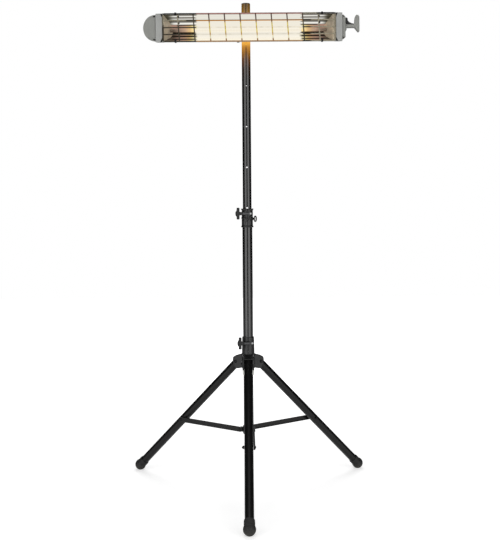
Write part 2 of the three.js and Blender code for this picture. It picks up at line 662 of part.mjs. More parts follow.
// A leg points down along -Z from its pivot; its frame is turned outwards.
function legTube() {
  const end = -(legLength - LEG_FOOT_GAP);
  const outer = bar([0, 0, LEG_RADIUS], [0, 0, end], LEG_RADIUS, ROUND);
  const side = new THREE.Shape();
  side.absarc(0, 0, LEG_RADIUS, 0, Math.PI, false);
  side.lineTo(-LEG_RADIUS - 1, -1);
  side.lineTo(-LEG_RADIUS - 1, end - 1);
  side.lineTo(LEG_RADIUS + 1, end - 1);
  side.lineTo(LEG_RADIUS + 1, -1);
  const envelope = alongX(side, -LEG_RADIUS - OVERCUT, LEG_RADIUS + OVERCUT, 12);
  const bore = bar([0, 0, -LEG_BORE_START], [0, 0, end - OVERCUT], LEG_RADIUS - LEG_WALL, ROUND);
  const pivotHole = bar([-YOKE_WIDTH, 0, 0], [YOKE_WIDTH, 0, 0], LEG_BOLT_RADIUS + CLEARANCE);
  return cut(common(outer, envelope), bore, pivotHole);
}

function footRubber() {
  const ballZ = -legLength;
  const cuffTop = ballZ + FOOT_CUFF_LENGTH;
  const outline = [[0, ballZ - FOOT_BALL_RADIUS]];
  const neckAngle = Math.acos((FOOT_CUFF_RADIUS - 0.5) / FOOT_BALL_RADIUS);
  for (let i = 1; i <= FOOT_STEPS; i++) {
    const angle = -Math.PI / 2 + (Math.PI / 2 + neckAngle) * i / FOOT_STEPS;
    outline.push([FOOT_BALL_RADIUS * Math.cos(angle), ballZ + FOOT_BALL_RADIUS * Math.sin(angle)]);
  }
  outline.push([FOOT_CUFF_RADIUS, cuffTop - FOOT_CUFF_CHAMFER.height]);
  outline.push([FOOT_CUFF_RADIUS - FOOT_CUFF_CHAMFER.width, cuffTop]);
  outline.push([0, cuffTop]);
  const socketFloor = ballZ + LEG_FOOT_GAP - CLEARANCE;
  const socket = bar([0, 0, cuffTop + OVERCUT], [0, 0, socketFloor], LEG_RADIUS + CLEARANCE, ROUND);
  const wide = 2 * FOOT_BALL_RADIUS;
  const floor = block(-wide, wide, -wide, wide, -wide, 0);
  floor.translate(0, 0, -FOOT_BALL_Z);
  floor.rotateX(legAngle);
  floor.translate(0, 0, ballZ);
  return cut(turned(outline), socket, floor);
}

// Leg pivot bolt: a round head on one side and a hexagon nut on the other.
function legBolt() {
  const half = YOKE_WIDTH / 2 + CLEARANCE;
  return joined(
    bar([-half - 3, 0, 0], [half + 3, 0, 0], LEG_BOLT_RADIUS),
    bar([half, 0, 0], [half + LEG_BOLT_HEAD.height, 0, 0], LEG_BOLT_HEAD.radius, SMALL_ROUND,
      LEG_BOLT_HEAD.top),
    hexBar([-half - LEG_BOLT_NUT.height, 0, 0], [-half, 0, 0], LEG_BOLT_NUT.radius),
  );
}

// Domed nut on the side of the leg away from the brace.
function domeNut() {
  const start = -LEG_RADIUS - CLEARANCE;
  const middle = start - DOME_NUT.height;
  return joined(
    hexBar([middle, 0, 0], [start, 0, 0], DOME_NUT.radius),
    bar([middle - DOME_NUT.domeHeight, 0, 0], [middle + 0.5, 0, 0], DOME_NUT.domeTop, SMALL_ROUND,
      DOME_NUT.domeRadius),
  );
}

// ---------- braces ----------

// A channel with round ends that lies beside the leg, open towards it. It points along -Y.
function braceChannel() {
  const half = BRACE_HEIGHT / 2;
  const outside = BRACE_SIDE + BRACE_THICKNESS;
  const body = alongX(stadium(-braceLength, 0, half), BRACE_SIDE, outside, 8);
  const far = BRACE_POCKET_START - braceLength;
  const pocket = block(BRACE_SIDE - 1, outside - BRACE_WALL, far, -BRACE_POCKET_START,
    -half + BRACE_WALL, half - BRACE_WALL);
  const groove = block(outside - BRACE_GROOVE.depth, outside + 1, far, -BRACE_POCKET_START,
    -BRACE_GROOVE.half, BRACE_GROOVE.half);
  const holes = [0, -braceLength].map((y) => bar([0, y, 0], [outside + OVERCUT, y, 0],
    BRACE_BOLT_RADIUS + CLEARANCE));
  return cut(body, pocket, groove, ...holes);
}

// Outer pivot bolt: it fills the brace and stops at the face of the leg, where the chain is open.
function braceBolt() {
  const outside = BRACE_SIDE + BRACE_THICKNESS + CLEARANCE;
  return joined(
    bar([BRACE_SIDE, 0, 0], [outside + 1, 0, 0], BRACE_BOLT_RADIUS),
    bar([outside, 0, 0], [outside + BRACE_HEAD.height, 0, 0], BRACE_HEAD.radius, SMALL_ROUND,
      BRACE_HEAD.top),
  );
}

// Inner pivot pin, through the lug of the lower hub.
function bracePin() {
  const outside = BRACE_SIDE + BRACE_THICKNESS + CLEARANCE;
  const lugFace = BRACE_SIDE - CLEARANCE - LUG_THICKNESS - CLEARANCE;
  return joined(
    bar([lugFace - 1, 0, 0], [outside + 1, 0, 0], BRACE_BOLT_RADIUS),
    bar([outside, 0, 0], [outside + BRACE_PIN_HEAD.height, 0, 0], BRACE_PIN_HEAD.radius, SMALL_ROUND,
      BRACE_PIN_HEAD.top),
    bar([lugFace - BRACE_PIN_TAIL.height, 0, 0], [lugFace, 0, 0], BRACE_PIN_TAIL.top, SMALL_ROUND,
      BRACE_PIN_TAIL.radius),
  );
}

function legPieces(number) {
  const group = new THREE.Group();
  group.rotation.z = (number - 1) * 2 * Math.PI / LEG_COUNT;

  const leg = new THREE.Group();
  leg.position.set(0, -LEG_PIVOT_R, LEG_PIVOT_Z);
  leg.rotation.x = -legAngle;
  leg.add(piece(`leg_${number}`, legTube(), blackPowderCoat));
  leg.add(piece(`foot_${number}`, footRubber(), blackRubber));
  leg.add(piece(`leg_bolt_${number}`, legBolt(), blackSteel));
  const nut = piece(`dome_nut_${number}`, domeNut(), blackSteel);
  nut.position.z = -BRACE_PIN_ON_LEG;
  leg.add(nut);
  group.add(leg);

  const brace = new THREE.Group();
  brace.position.set(0, -BRACE_INNER_R, BRACE_INNER_Z);
  brace.rotation.x = -braceAngle;
  brace.add(piece(`brace_${number}`, braceChannel(), blackPowderCoat));
  const bolt = piece(`brace_bolt_${number}`, braceBolt(), blackSteel);
  bolt.position.y = -braceLength;
  brace.add(bolt);
  brace.add(piece(`brace_pin_${number}`, bracePin(), blackSteel));
  group.add(brace);
  return group;
}

// ---------- lamp head (its own frame: the tilt axis is the X axis) ----------

function housing() {
  const path = [
    [headFront, HEAD_FRONT_HALF - HEAD_LIP],
    [headFront, HEAD_FRONT_HALF],
    [HEAD_BACK, HEAD_BACK_HALF],
    [HEAD_BACK, -HEAD_BACK_HALF],
    [headFront, -HEAD_FRONT_HALF],
    [headFront, -HEAD_FRONT_HALF + HEAD_LIP],
  ];
  return alongX(strip(path, SHEET), HEAD_LEFT, HEAD_RIGHT);
}

// Half section of the trough, from the front edge to the vertex: a parabola in flats.
function troughHalf() {
  const points = [];
  for (let i = REFLECTOR_FLUTES; i >= 0; i--) {
    const height = REFLECTOR_VERTEX_HALF + (REFLECTOR_HALF - REFLECTOR_VERTEX_HALF) * i / REFLECTOR_FLUTES;
    const share = (height / REFLECTOR_HALF) ** 2;
    points.push([REFLECTOR_BACK + (REFLECTOR_FRONT - REFLECTOR_BACK) * share, height]);
  }
  return points;
}

function troughPath() {
  const upper = troughHalf();
  const lower = upper.map(([y, z]) => [y, -z]).reverse();
  return [...upper, ...lower];
}

function reflector() {
  const path = troughPath().reverse();
  return alongX(strip(path, REFLECTOR_SHEET), HEAD_LEFT + CLEARANCE, HEAD_RIGHT - CLEARANCE);
}

// Slanted plate that closes one end of the trough. side is -1 at the left and 1 at the right.
function reflectorEnd(side) {
  const edge = side < 0 ? REFLECTOR_LEFT : REFLECTOR_RIGHT;
  const wall = side < 0 ? HEAD_LEFT + 2 * CLEARANCE : HEAD_RIGHT - 2 * CLEARANCE;
  const back = REFLECTOR_BACK - 2;
  const lean = edge - side * REFLECTOR_END_SLOPE;
  const lip = REFLECTOR_FRONT + REFLECTOR_LIP_SHEET;
  const plan = [
    [wall, REFLECTOR_FRONT], [edge, REFLECTOR_FRONT], [lean, back],
    [lean + side * REFLECTOR_END_SHEET, back], [edge + side * 0.9, lip], [wall, lip],
  ];
  if (side > 0) plan.reverse();
  const shape = outlineShape(plan);
  const sheet = new THREE.ExtrudeGeometry(shape, { depth: 2 * REFLECTOR_HALF, bevelEnabled: false });
  sheet.translate(0, 0, -REFLECTOR_HALF);
  const inside = troughPath().map(([y, z]) => [y, z - Math.sign(z) * REFLECTOR_END_GAP]);
  const room = alongX(outlineShape(inside), HEAD_LEFT, HEAD_RIGHT);
  const lampHole = bar([HEAD_LEFT, LAMP_Y, 0], [HEAD_RIGHT, LAMP_Y, 0], LAMP_RADIUS + LAMP_HOLE_GAP);
  return cut(common(sheet, room), lampHole);
}

function lampTube() {
  return bar([LAMP_LEFT, LAMP_Y, 0], [LAMP_RIGHT, LAMP_Y, 0], LAMP_RADIUS, SMALL_ROUND);
}

function lampHolder(side) {
  const lampEnd = side < 0 ? LAMP_LEFT : LAMP_RIGHT;
  const near = lampEnd - side * HOLDER_OVERLAP;
  const far = near + side * HOLDER_SIZE.x;
  const body = block(Math.min(near, far), Math.max(near, far),
    LAMP_Y - HOLDER_SIZE.y / 2, LAMP_Y + HOLDER_SIZE.y / 2, -HOLDER_SIZE.z / 2, HOLDER_SIZE.z / 2);
  const bore = bar([near - side * OVERCUT, LAMP_Y, 0], [lampEnd + side * 2, LAMP_Y, 0],
    LAMP_RADIUS + 2 * CLEARANCE);
  return cut(body, bore);
}

function guardGrille() {
  const left = HEAD_LEFT + GUARD_END_GAP;
  const right = HEAD_RIGHT - GUARD_END_GAP;
  const reach = GUARD_RIM_HALF;
  const rows = [-reach, -GUARD_ROW_PITCH, 0, GUARD_ROW_PITCH, reach];
  const wires = rows.map((z) => bar([left, GUARD_Y, z], [right, GUARD_Y, z], WIRE_RADIUS, WIRE_SIDES));
  const y = GUARD_Y - GUARD_CROSS_LIFT;
  for (let i = 0; i < GUARD_WIRES; i++) {
    const x = GUARD_FIRST + i * GUARD_PITCH;
    const lean = GUARD_SLANT / 2;
    wires.push(bar([x + lean, y, -reach], [x - lean, y, reach], WIRE_RADIUS, WIRE_SIDES));
  }
  return joined(...wires);
}

// A clip over the rim that holds the guard; up is 1 at the top and -1 at the bottom.
function guardClip(up) {
  const rim = HEAD_FRONT_HALF + CLIP.gap;
  const inner = GUARD_Y - WIRE_RADIUS - CLIP.gap;
  const outer = inner - CLIP.sheet;
  const outline = [
    [outer, CLIP.low], [inner, CLIP.low], [inner, rim], [inner + CLIP.over, rim],
    [inner + CLIP.over, rim + CLIP.lip], [outer, rim + CLIP.top],
  ];
  const shape = outlineShape(up > 0 ? outline : outline.map(([y, z]) => [y, -z]).reverse());
  return alongX(shape, -CLIP.width / 2, CLIP.width / 2);
}

// Section of the end frames, front at -Y.
function frameSection(shrink) {
  const backEdge = HEAD_BACK_HALF + FLANGE_BACK_STEP;
  const slope = (FLANGE_HALF - backEdge) / (FLANGE_BACK - FLANGE_FRONT);
  const front = FLANGE_FRONT + shrink;
  const back = FLANGE_BACK - shrink;
  const frontHalf = FLANGE_HALF - shrink - slope * shrink;
  const backHalf = backEdge - shrink + slope * shrink;
  return [[front, -frontHalf], [back, -backHalf], [back, backHalf], [front, frontHalf]];
}

function endFrame(x0, x1) {
  const shape = outlineShape(frameSection(0));
  shape.holes.push(new THREE.Path(frameSection(FLANGE_WALL).map(([y, z]) => new THREE.Vector2(y, z))));
  return alongX(shape, x0, x1);
}

// Lowers an end cap towards its back, as the housing does.
function tapered(geometry, front, back) {
  const points = geometry.attributes.position;
  for (let i = 0; i < points.count; i++) {
    const share = (points.getY(i) - front) / (back - front);
    points.setZ(i, points.getZ(i) * (1 - (1 - END_TAPER) * share));
  }
  return geometry;
}

// D-shaped cap at the left end, hollow and open towards the frame.
function leftDome() {
  const root = flangeLeft - CLEARANCE;
  const outline = (shrink) => {
    const shape = new THREE.Shape();
    shape.moveTo(root, -DOME_HALF + shrink);
    shape.lineTo(root, DOME_HALF - shrink);
    const start = root - DOME_STRAIGHT;
    const reach = DOME_REACH - DOME_STRAIGHT - shrink;
    shape.lineTo(start, DOME_HALF - shrink);
    shape.absellipse(start, 0, reach, DOME_HALF - shrink, Math.PI / 2, Math.PI * 1.5, false);
    return shape;
  };
  const body = alongY(outline(0), DOME_FRONT, DOME_BACK, 20);
  const room = alongY(outline(DOME_WALL), DOME_FRONT + DOME_WALL, DOME_BACK - DOME_WALL, 20);
  room.translate(1, 0, 0);
  return cut(tapered(body, DOME_FRONT, DOME_BACK), tapered(room, DOME_FRONT, DOME_BACK));
}

// Flat outer cap at the right end, hollow and open towards the frame.
function rightCap() {
  const root = flangeRight + CLEARANCE;
  const outline = (shrink) => outlineShape([
    [root, -CAP_HALF + shrink], [capRight - CAP_CHAMFER, -CAP_HALF + shrink],
    [capRight - shrink, -CAP_HALF + CAP_CHAMFER], [capRight - shrink, CAP_HALF - CAP_CHAMFER],
    [capRight - CAP_CHAMFER, CAP_HALF - shrink], [root, CAP_HALF - shrink],
  ]);
  const body = alongY(outline(0), DOME_FRONT, DOME_BACK);
  const room = alongY(outline(DOME_WALL), DOME_FRONT + DOME_WALL, DOME_BACK - DOME_WALL);
  room.translate(-1, 0, 0);
  return cut(tapered(body, DOME_FRONT, DOME_BACK), tapered(room, DOME_FRONT, DOME_BACK));
}

// Neck and T-shaped grip in one casting.
function handle() {
  const root = capRight + CLEARANCE;
  const barStart = root + NECK_LENGTH;
  const barEnd = barStart + GRIP_THICKNESS;
  const shape = outlineShape([
    [root, NECK_LOW],
    [barStart, NECK_LOW],
    [barEnd - 6, -GRIP_DOWN],
    [barEnd, -GRIP_DOWN],
    [barEnd, GRIP_UP - 6],
    [barEnd - 4, GRIP_UP],
    [barStart + 6, GRIP_UP],
    [barStart + 2.5, GRIP_UP - 7],
    [barStart, NECK_HIGH + 7],
    [barStart, NECK_HIGH],
    [root, NECK_HIGH],
  ]);
  return alongY(shape, GRIP_Y - GRIP_DEPTH / 2, GRIP_Y + GRIP_DEPTH / 2);
}

// Black moulded cable inlet on top of the neck.
function cableInlet() {
  const root = capRight + CLEARANCE;
  const low = NECK_HIGH + CLEARANCE;
  const shape = outlineShape([
    [root, low], [root + 33, low], [root + 28, low + 5], [root + 16, low + 7.5],
    [root + 9, low + 16], [root + 9, low + 24], [root + 6, low + 27], [root, low + 27],
  ]);
  return alongY(shape, GRIP_Y - INLET_HALF_DEPTH, GRIP_Y + INLET_HALF_DEPTH);
}

function terminalBlock() {
  const left = flangeRight - RIGHT_FLANGE_WIDTH + TERMINAL.gap;
  const right = left + TERMINAL.length;
  const body = block(left, right, TERMINAL.front, TERMINAL.back, -TERMINAL.half, TERMINAL.half);
  const ways = TERMINAL_WAYS.map((y) => bar([left - 2, y, 0], [right + 2, y, 0], TERMINAL.wayRadius, 8));
  return cut(body, ...ways);
}

function headPieces() {
  const group = new THREE.Group();
  group.add(piece('housing', housing(), greyPaint));
  group.add(piece('reflector', reflector(), mirror));
  group.add(piece('reflector_end_left', reflectorEnd(-1), mirror));
  group.add(piece('reflector_end_right', reflectorEnd(1), mirror));
  group.add(piece('lamp_tube', lampTube(), quartz));
  group.add(piece('lamp_holder_left', lampHolder(-1), porcelain));
  group.add(piece('lamp_holder_right', lampHolder(1), porcelain));
  group.add(piece('guard_grille', guardGrille(), bronzeWire));
  const clips = [['top', 1], ['bottom', -1]];
  for (const [place, up] of clips) {
    ['left', 'right'].forEach((side, i) => {
      const clip = piece(`guard_clip_${place}_${side}`, guardClip(up), blackSteel);
      clip.position.x = CLIP_X[i];
      group.add(clip);
    });
  }
  group.add(piece('left_flange', endFrame(flangeLeft, flangeLeft + LEFT_FLANGE_WIDTH), greyPaint));
  group.add(piece('left_dome', leftDome(), greyPaint));
  group.add(piece('right_flange', endFrame(flangeRight - RIGHT_FLANGE_WIDTH, flangeRight), greyPaint));
  group.add(piece('right_cap', rightCap(), greyPaint));
  group.add(piece('handle', handle(), greyPaint));
  group.add(piece('cable_inlet', cableInlet(), blackPlastic));
  group.add(piece('terminal_block', terminalBlock(), porcelain));
  group.add(piece('tilt_bracket', tiltBracket(), blackPowderCoat));
  const tail = TILT_BOLT_END - TILT_KNOB_X;
  const tiltBolt = clampBolt(tail, TILT_BOLT_HEX.length, TILT_BOLT_RADIUS, TILT_BOLT_HEX.radius);
  const bolt = piece('tilt_bolt', tiltBolt, steel);
  const knob = piece('tilt_knob', clampKnob(TILT_BOLT_RADIUS, TILT_KNOB_HEIGHT), blackPlastic);
  group.add(place(bolt, TILT_KNOB_X, 0, 0), place(knob, TILT_KNOB_X, 0, 0));
  group.position.set(0, TILT_Y, HEAD_Z);
  return group;
}

// ---------- rear bracket ----------

// Plate on the back of the housing with two cheeks round the lug of the pole clamp.
function tiltBracket() {
  const back = HEAD_BACK + CLEARANCE;
  const plate = block(-BRACKET_PLATE.x / 2, BRACKET_PLATE.x / 2, back, back + BRACKET_PLATE.y,
    -BRACKET_PLATE.z / 2, BRACKET_PLATE.z / 2);
  const gap = LUG_HALF + CLEARANCE;
  const cheeks = [-1, 1].map((side) => {
    const x = side < 0 ? -gap - BRACKET_CHEEK : gap;
    return alongX(stadium(back + 1, 0, BRACKET_CHEEK_HALF), x, x + BRACKET_CHEEK, 8);
  });
  const trim = block(-BRACKET_PLATE.x, BRACKET_PLATE.x, 2 * back, back, -BRACKET_PLATE.z, BRACKET_PLATE.z);
  const hole = bar([-BRACKET_PLATE.x, 0, 0], [BRACKET_PLATE.x, 0, 0], TILT_BOLT_RADIUS + CLEARANCE);
  return cut(joined(plate, ...cheeks), trim, hole);
}

function poleClamp() {
  const inner = POLE_RADIUS + CLEARANCE;
  const sleeve = turned([
    [inner, -CLAMP_HALF_HEIGHT],
    [CLAMP_RADIUS - CLAMP_CHAMFER, -CLAMP_HALF_HEIGHT],
    [CLAMP_RADIUS, -CLAMP_HALF_HEIGHT + CLAMP_CHAMFER],
    [CLAMP_RADIUS, CLAMP_HALF_HEIGHT - CLAMP_CHAMFER],
    [CLAMP_RADIUS - CLAMP_CHAMFER, CLAMP_HALF_HEIGHT],
    [inner, CLAMP_HALF_HEIGHT],
  ], ROUND, true);
  const lug = alongX(stadium(TILT_Y, -inner - 2, BRACKET_CHEEK_HALF), -LUG_HALF, LUG_HALF, 8);
  const bossBack = CLAMP_BOLT_Y + CLAMP_BOSS.beyond;
  const boss = block(-CLAMP_BOSS.half, CLAMP_BOSS.half, inner, bossBack,
    -CLAMP_BOSS.halfHeight, CLAMP_BOSS.halfHeight);
  const high = CLAMP_HALF_HEIGHT + OVERCUT;
  const wide = CLAMP_RADIUS;
  const bore = bar([0, 0, -high], [0, 0, high], inner, ROUND);
  const boltBore = bar([-wide, CLAMP_BOLT_Y, 0], [wide, CLAMP_BOLT_Y, 0], BOLT_RADIUS + CLEARANCE);
  const tiltHole = bar([-wide, TILT_Y, 0], [wide, TILT_Y, 0], TILT_BOLT_RADIUS + CLEARANCE);
  const slot = block(-CLAMP_SLOT_WIDTH / 2, CLAMP_SLOT_WIDTH / 2, inner - OVERCUT, bossBack + OVERCUT,
    -high, high);
  return cut(joined(sleeve, lug, boss), bore, boltBore, tiltHole, slot);
}

// ---------- the whole ----------

function place(mesh, x, y, z) {
  mesh.position.set(x, y, z);
  return mesh;
}

// A clamp knob and its bolt, whose free end is at x = tail.
function addClamp(owner, x, y, z, tail, hexLength) {
  const knob = piece(`${owner}_knob`, clampKnob(BOLT_RADIUS), blackPlastic);
  const bolt = piece(`${owner}_bolt`, clampBolt(tail - x, hexLength), steel);
  tower.add(place(knob, x, y, z), place(bolt, x, y, z));
}

const tower = new THREE.Group();
tower.add(basePieces(), mastPieces(), safetyPinPieces(), hubPieces());

addClamp('collar', COLLAR_KNOB_X, COLLAR_BOLT_Y, COLLAR_BOLT_Z, COLLAR_BOLT_END, COLLAR_BOLT_HEX);
addClamp('hub', HUB_KNOB_X, HUB_BOLT_Y, HUB_BOLT_Z, HUB_BOLT_END, HUB_BOLT_HEX);
for (let number = 1; number <= LEG_COUNT; number++) tower.add(legPieces(number));

tower.add(headPieces());
tower.add(place(piece('pole_clamp', poleClamp(), blackPlastic), 0, 0, HEAD_Z));
const clampKnobPiece = piece('clamp_knob', studKnob(CLAMP_STUD_END - CLAMP_KNOB_X), blackPlastic);
tower.add(place(clampKnobPiece, CLAMP_KNOB_X, CLAMP_BOLT_Y, HEAD_Z));

// The column stands behind the middle of the outline, because one leg points forwards.
tower.updateMatrixWorld(true);
const outline = new THREE.Box3().setFromObject(tower, true);
tower.position.y = -(outline.min.y + outline.max.y) / 2;

export default tower;
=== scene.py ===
import json
import math

import bmesh
import bpy
from mathutils import Matrix, Vector


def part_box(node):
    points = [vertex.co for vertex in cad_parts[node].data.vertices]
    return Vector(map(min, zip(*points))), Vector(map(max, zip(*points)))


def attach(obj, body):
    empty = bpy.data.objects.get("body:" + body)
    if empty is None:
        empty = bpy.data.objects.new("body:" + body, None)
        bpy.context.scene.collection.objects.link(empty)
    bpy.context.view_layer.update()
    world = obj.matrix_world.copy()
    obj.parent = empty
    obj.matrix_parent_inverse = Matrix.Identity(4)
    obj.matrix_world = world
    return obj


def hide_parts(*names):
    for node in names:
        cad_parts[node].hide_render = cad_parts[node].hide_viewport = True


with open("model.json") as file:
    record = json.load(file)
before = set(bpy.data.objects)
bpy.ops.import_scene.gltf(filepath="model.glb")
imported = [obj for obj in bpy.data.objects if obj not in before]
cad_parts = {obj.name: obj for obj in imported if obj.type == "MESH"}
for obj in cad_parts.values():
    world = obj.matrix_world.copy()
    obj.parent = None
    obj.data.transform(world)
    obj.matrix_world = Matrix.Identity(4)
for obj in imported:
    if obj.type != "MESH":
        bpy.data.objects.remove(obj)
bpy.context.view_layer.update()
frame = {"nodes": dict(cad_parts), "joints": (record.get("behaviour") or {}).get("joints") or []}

# Infrared patio heater tower: a lamp head on a telescopic pole and a folding tripod.
# Shapes are drawn in millimetres, +Z up, with the heater facing -Y, and scaled to metres at the end.

scene = bpy.context.scene
joints = {joint["name"]: joint for joint in frame["joints"]}


def boxOf(node):  # lowest and highest corner of a CAD node, in mm
    low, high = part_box(node)
    return low * 1000, high * 1000


def middleOf(node):
    low, high = boxOf(node)
    return (low + high) / 2


def pivotOf(joint):
    return Vector(joints[joint]["pos_m"]) * 1000


columnPlace = Matrix.Translation((0, middleOf("base_tube").y, 0))
headPlace = Matrix.Translation(pivotOf("head_tilt"))


def meshShape(points, faces):
    mesh = bpy.data.meshes.new("shape")
    mesh.from_pydata([tuple(point) for point in points], [], faces)
    shaper = bmesh.new()
    shaper.from_mesh(mesh)
    bmesh.ops.recalc_face_normals(shaper, faces=shaper.faces)
    shaper.to_mesh(mesh)
    shaper.free()
    shape = bpy.data.objects.new("shape", mesh)
    scene.collection.objects.link(shape)
    return shape


def arcPoints(cx, cy, radius, start, end, steps=12):  # angles in degrees
    angles = [math.radians(start + (end - start) * i / steps) for i in range(steps + 1)]
    return [(cx + radius * math.cos(a), cy + radius * math.sin(a)) for a in angles]


def rounded(corners, steps=5):  # an outline of (u, v, radius) corners, with each corner as an arc
    points = []
    for i, corner in enumerate(corners):
        u, v, radius = (*corner, 0)[:3]
        here = Vector((u, v))
        back = Vector(corners[i - 1][:2]) - here
        ahead = Vector(corners[(i + 1) % len(corners)][:2]) - here
        half = back.angle(ahead) / 2
        if radius <= 0 or half > 1.56:
            points.append((u, v))
            continue
        reach = min(radius / math.tan(half), 0.49 * back.length, 0.49 * ahead.length)
        arm = reach * math.tan(half)
        centre = here + (back.normalized() + ahead.normalized()).normalized() * arm / math.sin(half)
        start = here + back.normalized() * reach - centre
        end = here + ahead.normalized() * reach - centre
        first = math.atan2(start.y, start.x)
        sweep = (math.atan2(end.y, end.x) - first + math.pi) % (2 * math.pi) - math.pi
        for k in range(steps + 1):
            angle = first + sweep * k / steps
            points.append((centre.x + arm * math.cos(angle), centre.y + arm * math.sin(angle)))
    return points


def turned(profile, sides=64):  # (radius, z) points turned about Z, closed on the axis or on itself
    points = []
    rings = []
    for radius, z in profile:
        if radius < 1e-6:
            rings.append([len(points)] * sides)
            points.append((0, 0, z))
            continue
        rings.append([len(points) + k for k in range(sides)])
        for k in range(sides):
            angle = 2 * math.pi * k / sides
            points.append((radius * math.cos(angle), radius * math.sin(angle), z))
    following = rings[1:] + (rings[:1] if profile[0][0] > 1e-6 else [])
    faces = []
    for low, high in zip(rings, following):
        for k in range(sides):
            after = (k + 1) % sides
            face = list(dict.fromkeys([low[k], low[after], high[after], high[k]]))
            if len(face) > 2:
                faces.append(face)
    return meshShape(points, faces)


def prism(outline, low, high, along="x"):  # an outline of (y, z), (x, z) or (x, y) pushed along an axis
    lift = {"x": lambda u, v, d: (d, u, v), "y": lambda u, v, d: (u, d, v), "z": lambda u, v,
            d: (u, v, d)}[along]
    count = len(outline)
    points = [lift(u, v, depth) for depth in (low, high) for u, v in outline]
    faces = [[i, (i + 1) % count, count + (i + 1) % count, count + i] for i in range(count)]
    faces += [list(range(count)), list(range(count, 2 * count))]
    return meshShape(points, faces)


def block(x0, x1, y0, y1, z0, z1):
    return prism([(x0, y0), (x1, y0), (x1, y1), (x0, y1)], z0, z1, "z")


def standing(start, end):  # turns +Z into the line from start to end
    line = Vector(end) - Vector(start)
    return Matrix.Translation(start) @ line.to_track_quat("Z", "Y").to_matrix().to_4x4()


def rod(start, end, radius, endRadius=None, edge=0.0, sides=32):  # a bar with chamfered ends
    length = (Vector(end) - Vector(start)).length
    endRadius = radius if endRadius is None else endRadius
    profile = [(0, 0), (radius - edge, 0), (radius, edge), (endRadius, length - edge),
               (endRadius - edge, length), (0, length)]
    if not edge:
        profile = [(0, 0), (radius, 0), (endRadius, length), (0, length)]
    return placed(turned(profile, sides), standing(start, end))


# A round wire through points, of one radius or one for each.
def wire(points, radius, sides=12, closed=False):
    path = [Vector(point) for point in points]
    count = len(path)
    radii = radius if isinstance(radius, list) else [radius] * count
    rings = []
    across = None
    for i, here in enumerate(path):
        back = path[i - 1] if i or closed else here
        ahead = path[(i + 1) % count] if i + 1 < count or closed else here
        along = (ahead - back).normalized()
        if across is None:
            across = along.orthogonal().normalized()
        across = (across - along * across.dot(along)).normalized()
        side = along.cross(across)
        turns = [2 * math.pi * k / sides for k in range(sides)]
        rings.append([here + radii[i] * (across * math.cos(a) + side * math.sin(a)) for a in turns])
    points = [point for ring in rings for point in ring]
    faces = []
    for i in range(count if closed else count - 1):
        low = i * sides
        high = (i + 1) % count * sides
        faces += [[low + k, low + (k + 1) % sides, high + (k + 1) % sides,
                   high + k] for k in range(sides)]
    if not closed:
        faces += [list(range(sides)), list(range((count - 1) * sides, count * sides))]
    return meshShape(points, faces)


def placed(shape, matrix):
    shape.data.transform(matrix)
    if matrix.determinant() < 0:
        shape.data.flip_normals()
    return shape


def copied(shape, matrix=Matrix()):
    twin = bpy.data.objects.new("shape", shape.data.copy())
    scene.collection.objects.link(twin)
    return placed(twin, matrix)


def spun(shape, count, start=0.0):  # the shape and its copies round Z
    turns = [Matrix.Rotation(math.radians(start) + 2 * math.pi * i / count, 4, "Z") for i in range(count)]
    copies = [copied(shape, turn) for turn in turns]
    bpy.data.objects.remove(shape)
    return copies


def baked(shape):  # applies the modifiers to the mesh
    used = shape.data
    graph = bpy.context.evaluated_depsgraph_get()
    shape.data = bpy.data.meshes.new_from_object(shape.evaluated_get(graph))
    shape.modifiers.clear()
    bpy.data.meshes.remove(used)
    return shape


def combined(shape, tools, operation):
    for tool in tools:
        modifier = shape.modifiers.new("boolean", "BOOLEAN")
        modifier.solver = "MANIFOLD"
        modifier.operation = operation
        modifier.object = tool
    baked(shape)
    for tool in tools:
        bpy.data.objects.remove(tool)
    return shape


def fused(shape, *tools):
    return combined(shape, tools, "UNION")


def cut(shape, *tools):
    return combined(shape, tools, "DIFFERENCE")


def softened(shape, width, rings=3, angle=30):  # rounds the sharp edges
    modifier = shape.modifiers.new("bevel", "BEVEL")
    modifier.width = width
    modifier.segments = rings
    modifier.limit_method = "ANGLE"
    modifier.angle_limit = math.radians(angle)
    return baked(shape)


def gathered(*shapes):  # several solids as one piece, not fused
    shaper = bmesh.new()
    for shape in shapes:
        shaper.from_mesh(shape.data)
        bpy.data.objects.remove(shape)
    mesh = bpy.data.meshes.new("shape")
    shaper.to_mesh(mesh)
    shaper.free()
    whole = bpy.data.objects.new("shape", mesh)
    scene.collection.objects.link(whole)
    return whole


def makePiece(name, shape, finish, body, replaced=(), place=Matrix(), crease=33):
    placed(shape, Matrix.Scale(0.001, 4) @ place)
    shape.name = name
    shape.data.name = name
    shape.data.shade_smooth()
    shape.data.set_sharp_from_angle(angle=math.radians(crease))
    weighted = shape.modifiers.new("weighted", "WEIGHTED_NORMAL")
    weighted.keep_sharp = True
    baked(shape)
    shape.data.materials.clear()
    shape.data.materials.append(finish)
    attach(shape, body)
    if replaced:
        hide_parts(*replaced)
    return shape


def columnPiece(name, shape, finish, body, replaced=()):
    return makePiece(name, shape, finish, body, replaced, columnPlace)


def headPiece(name, shape, finish, replaced=(), crease=33):
    return makePiece(name, shape, finish, "head", replaced, headPlace, crease)


def colour(code):  # sRGB hex to linear
    shares = [int(code[i:i + 2], 16) / 255 for i in (1, 3, 5)]
    return (*[s / 12.92 if s <= 0.04045 else ((s + 0.055) / 1.055) ** 2.4 for s in shares], 1.0)


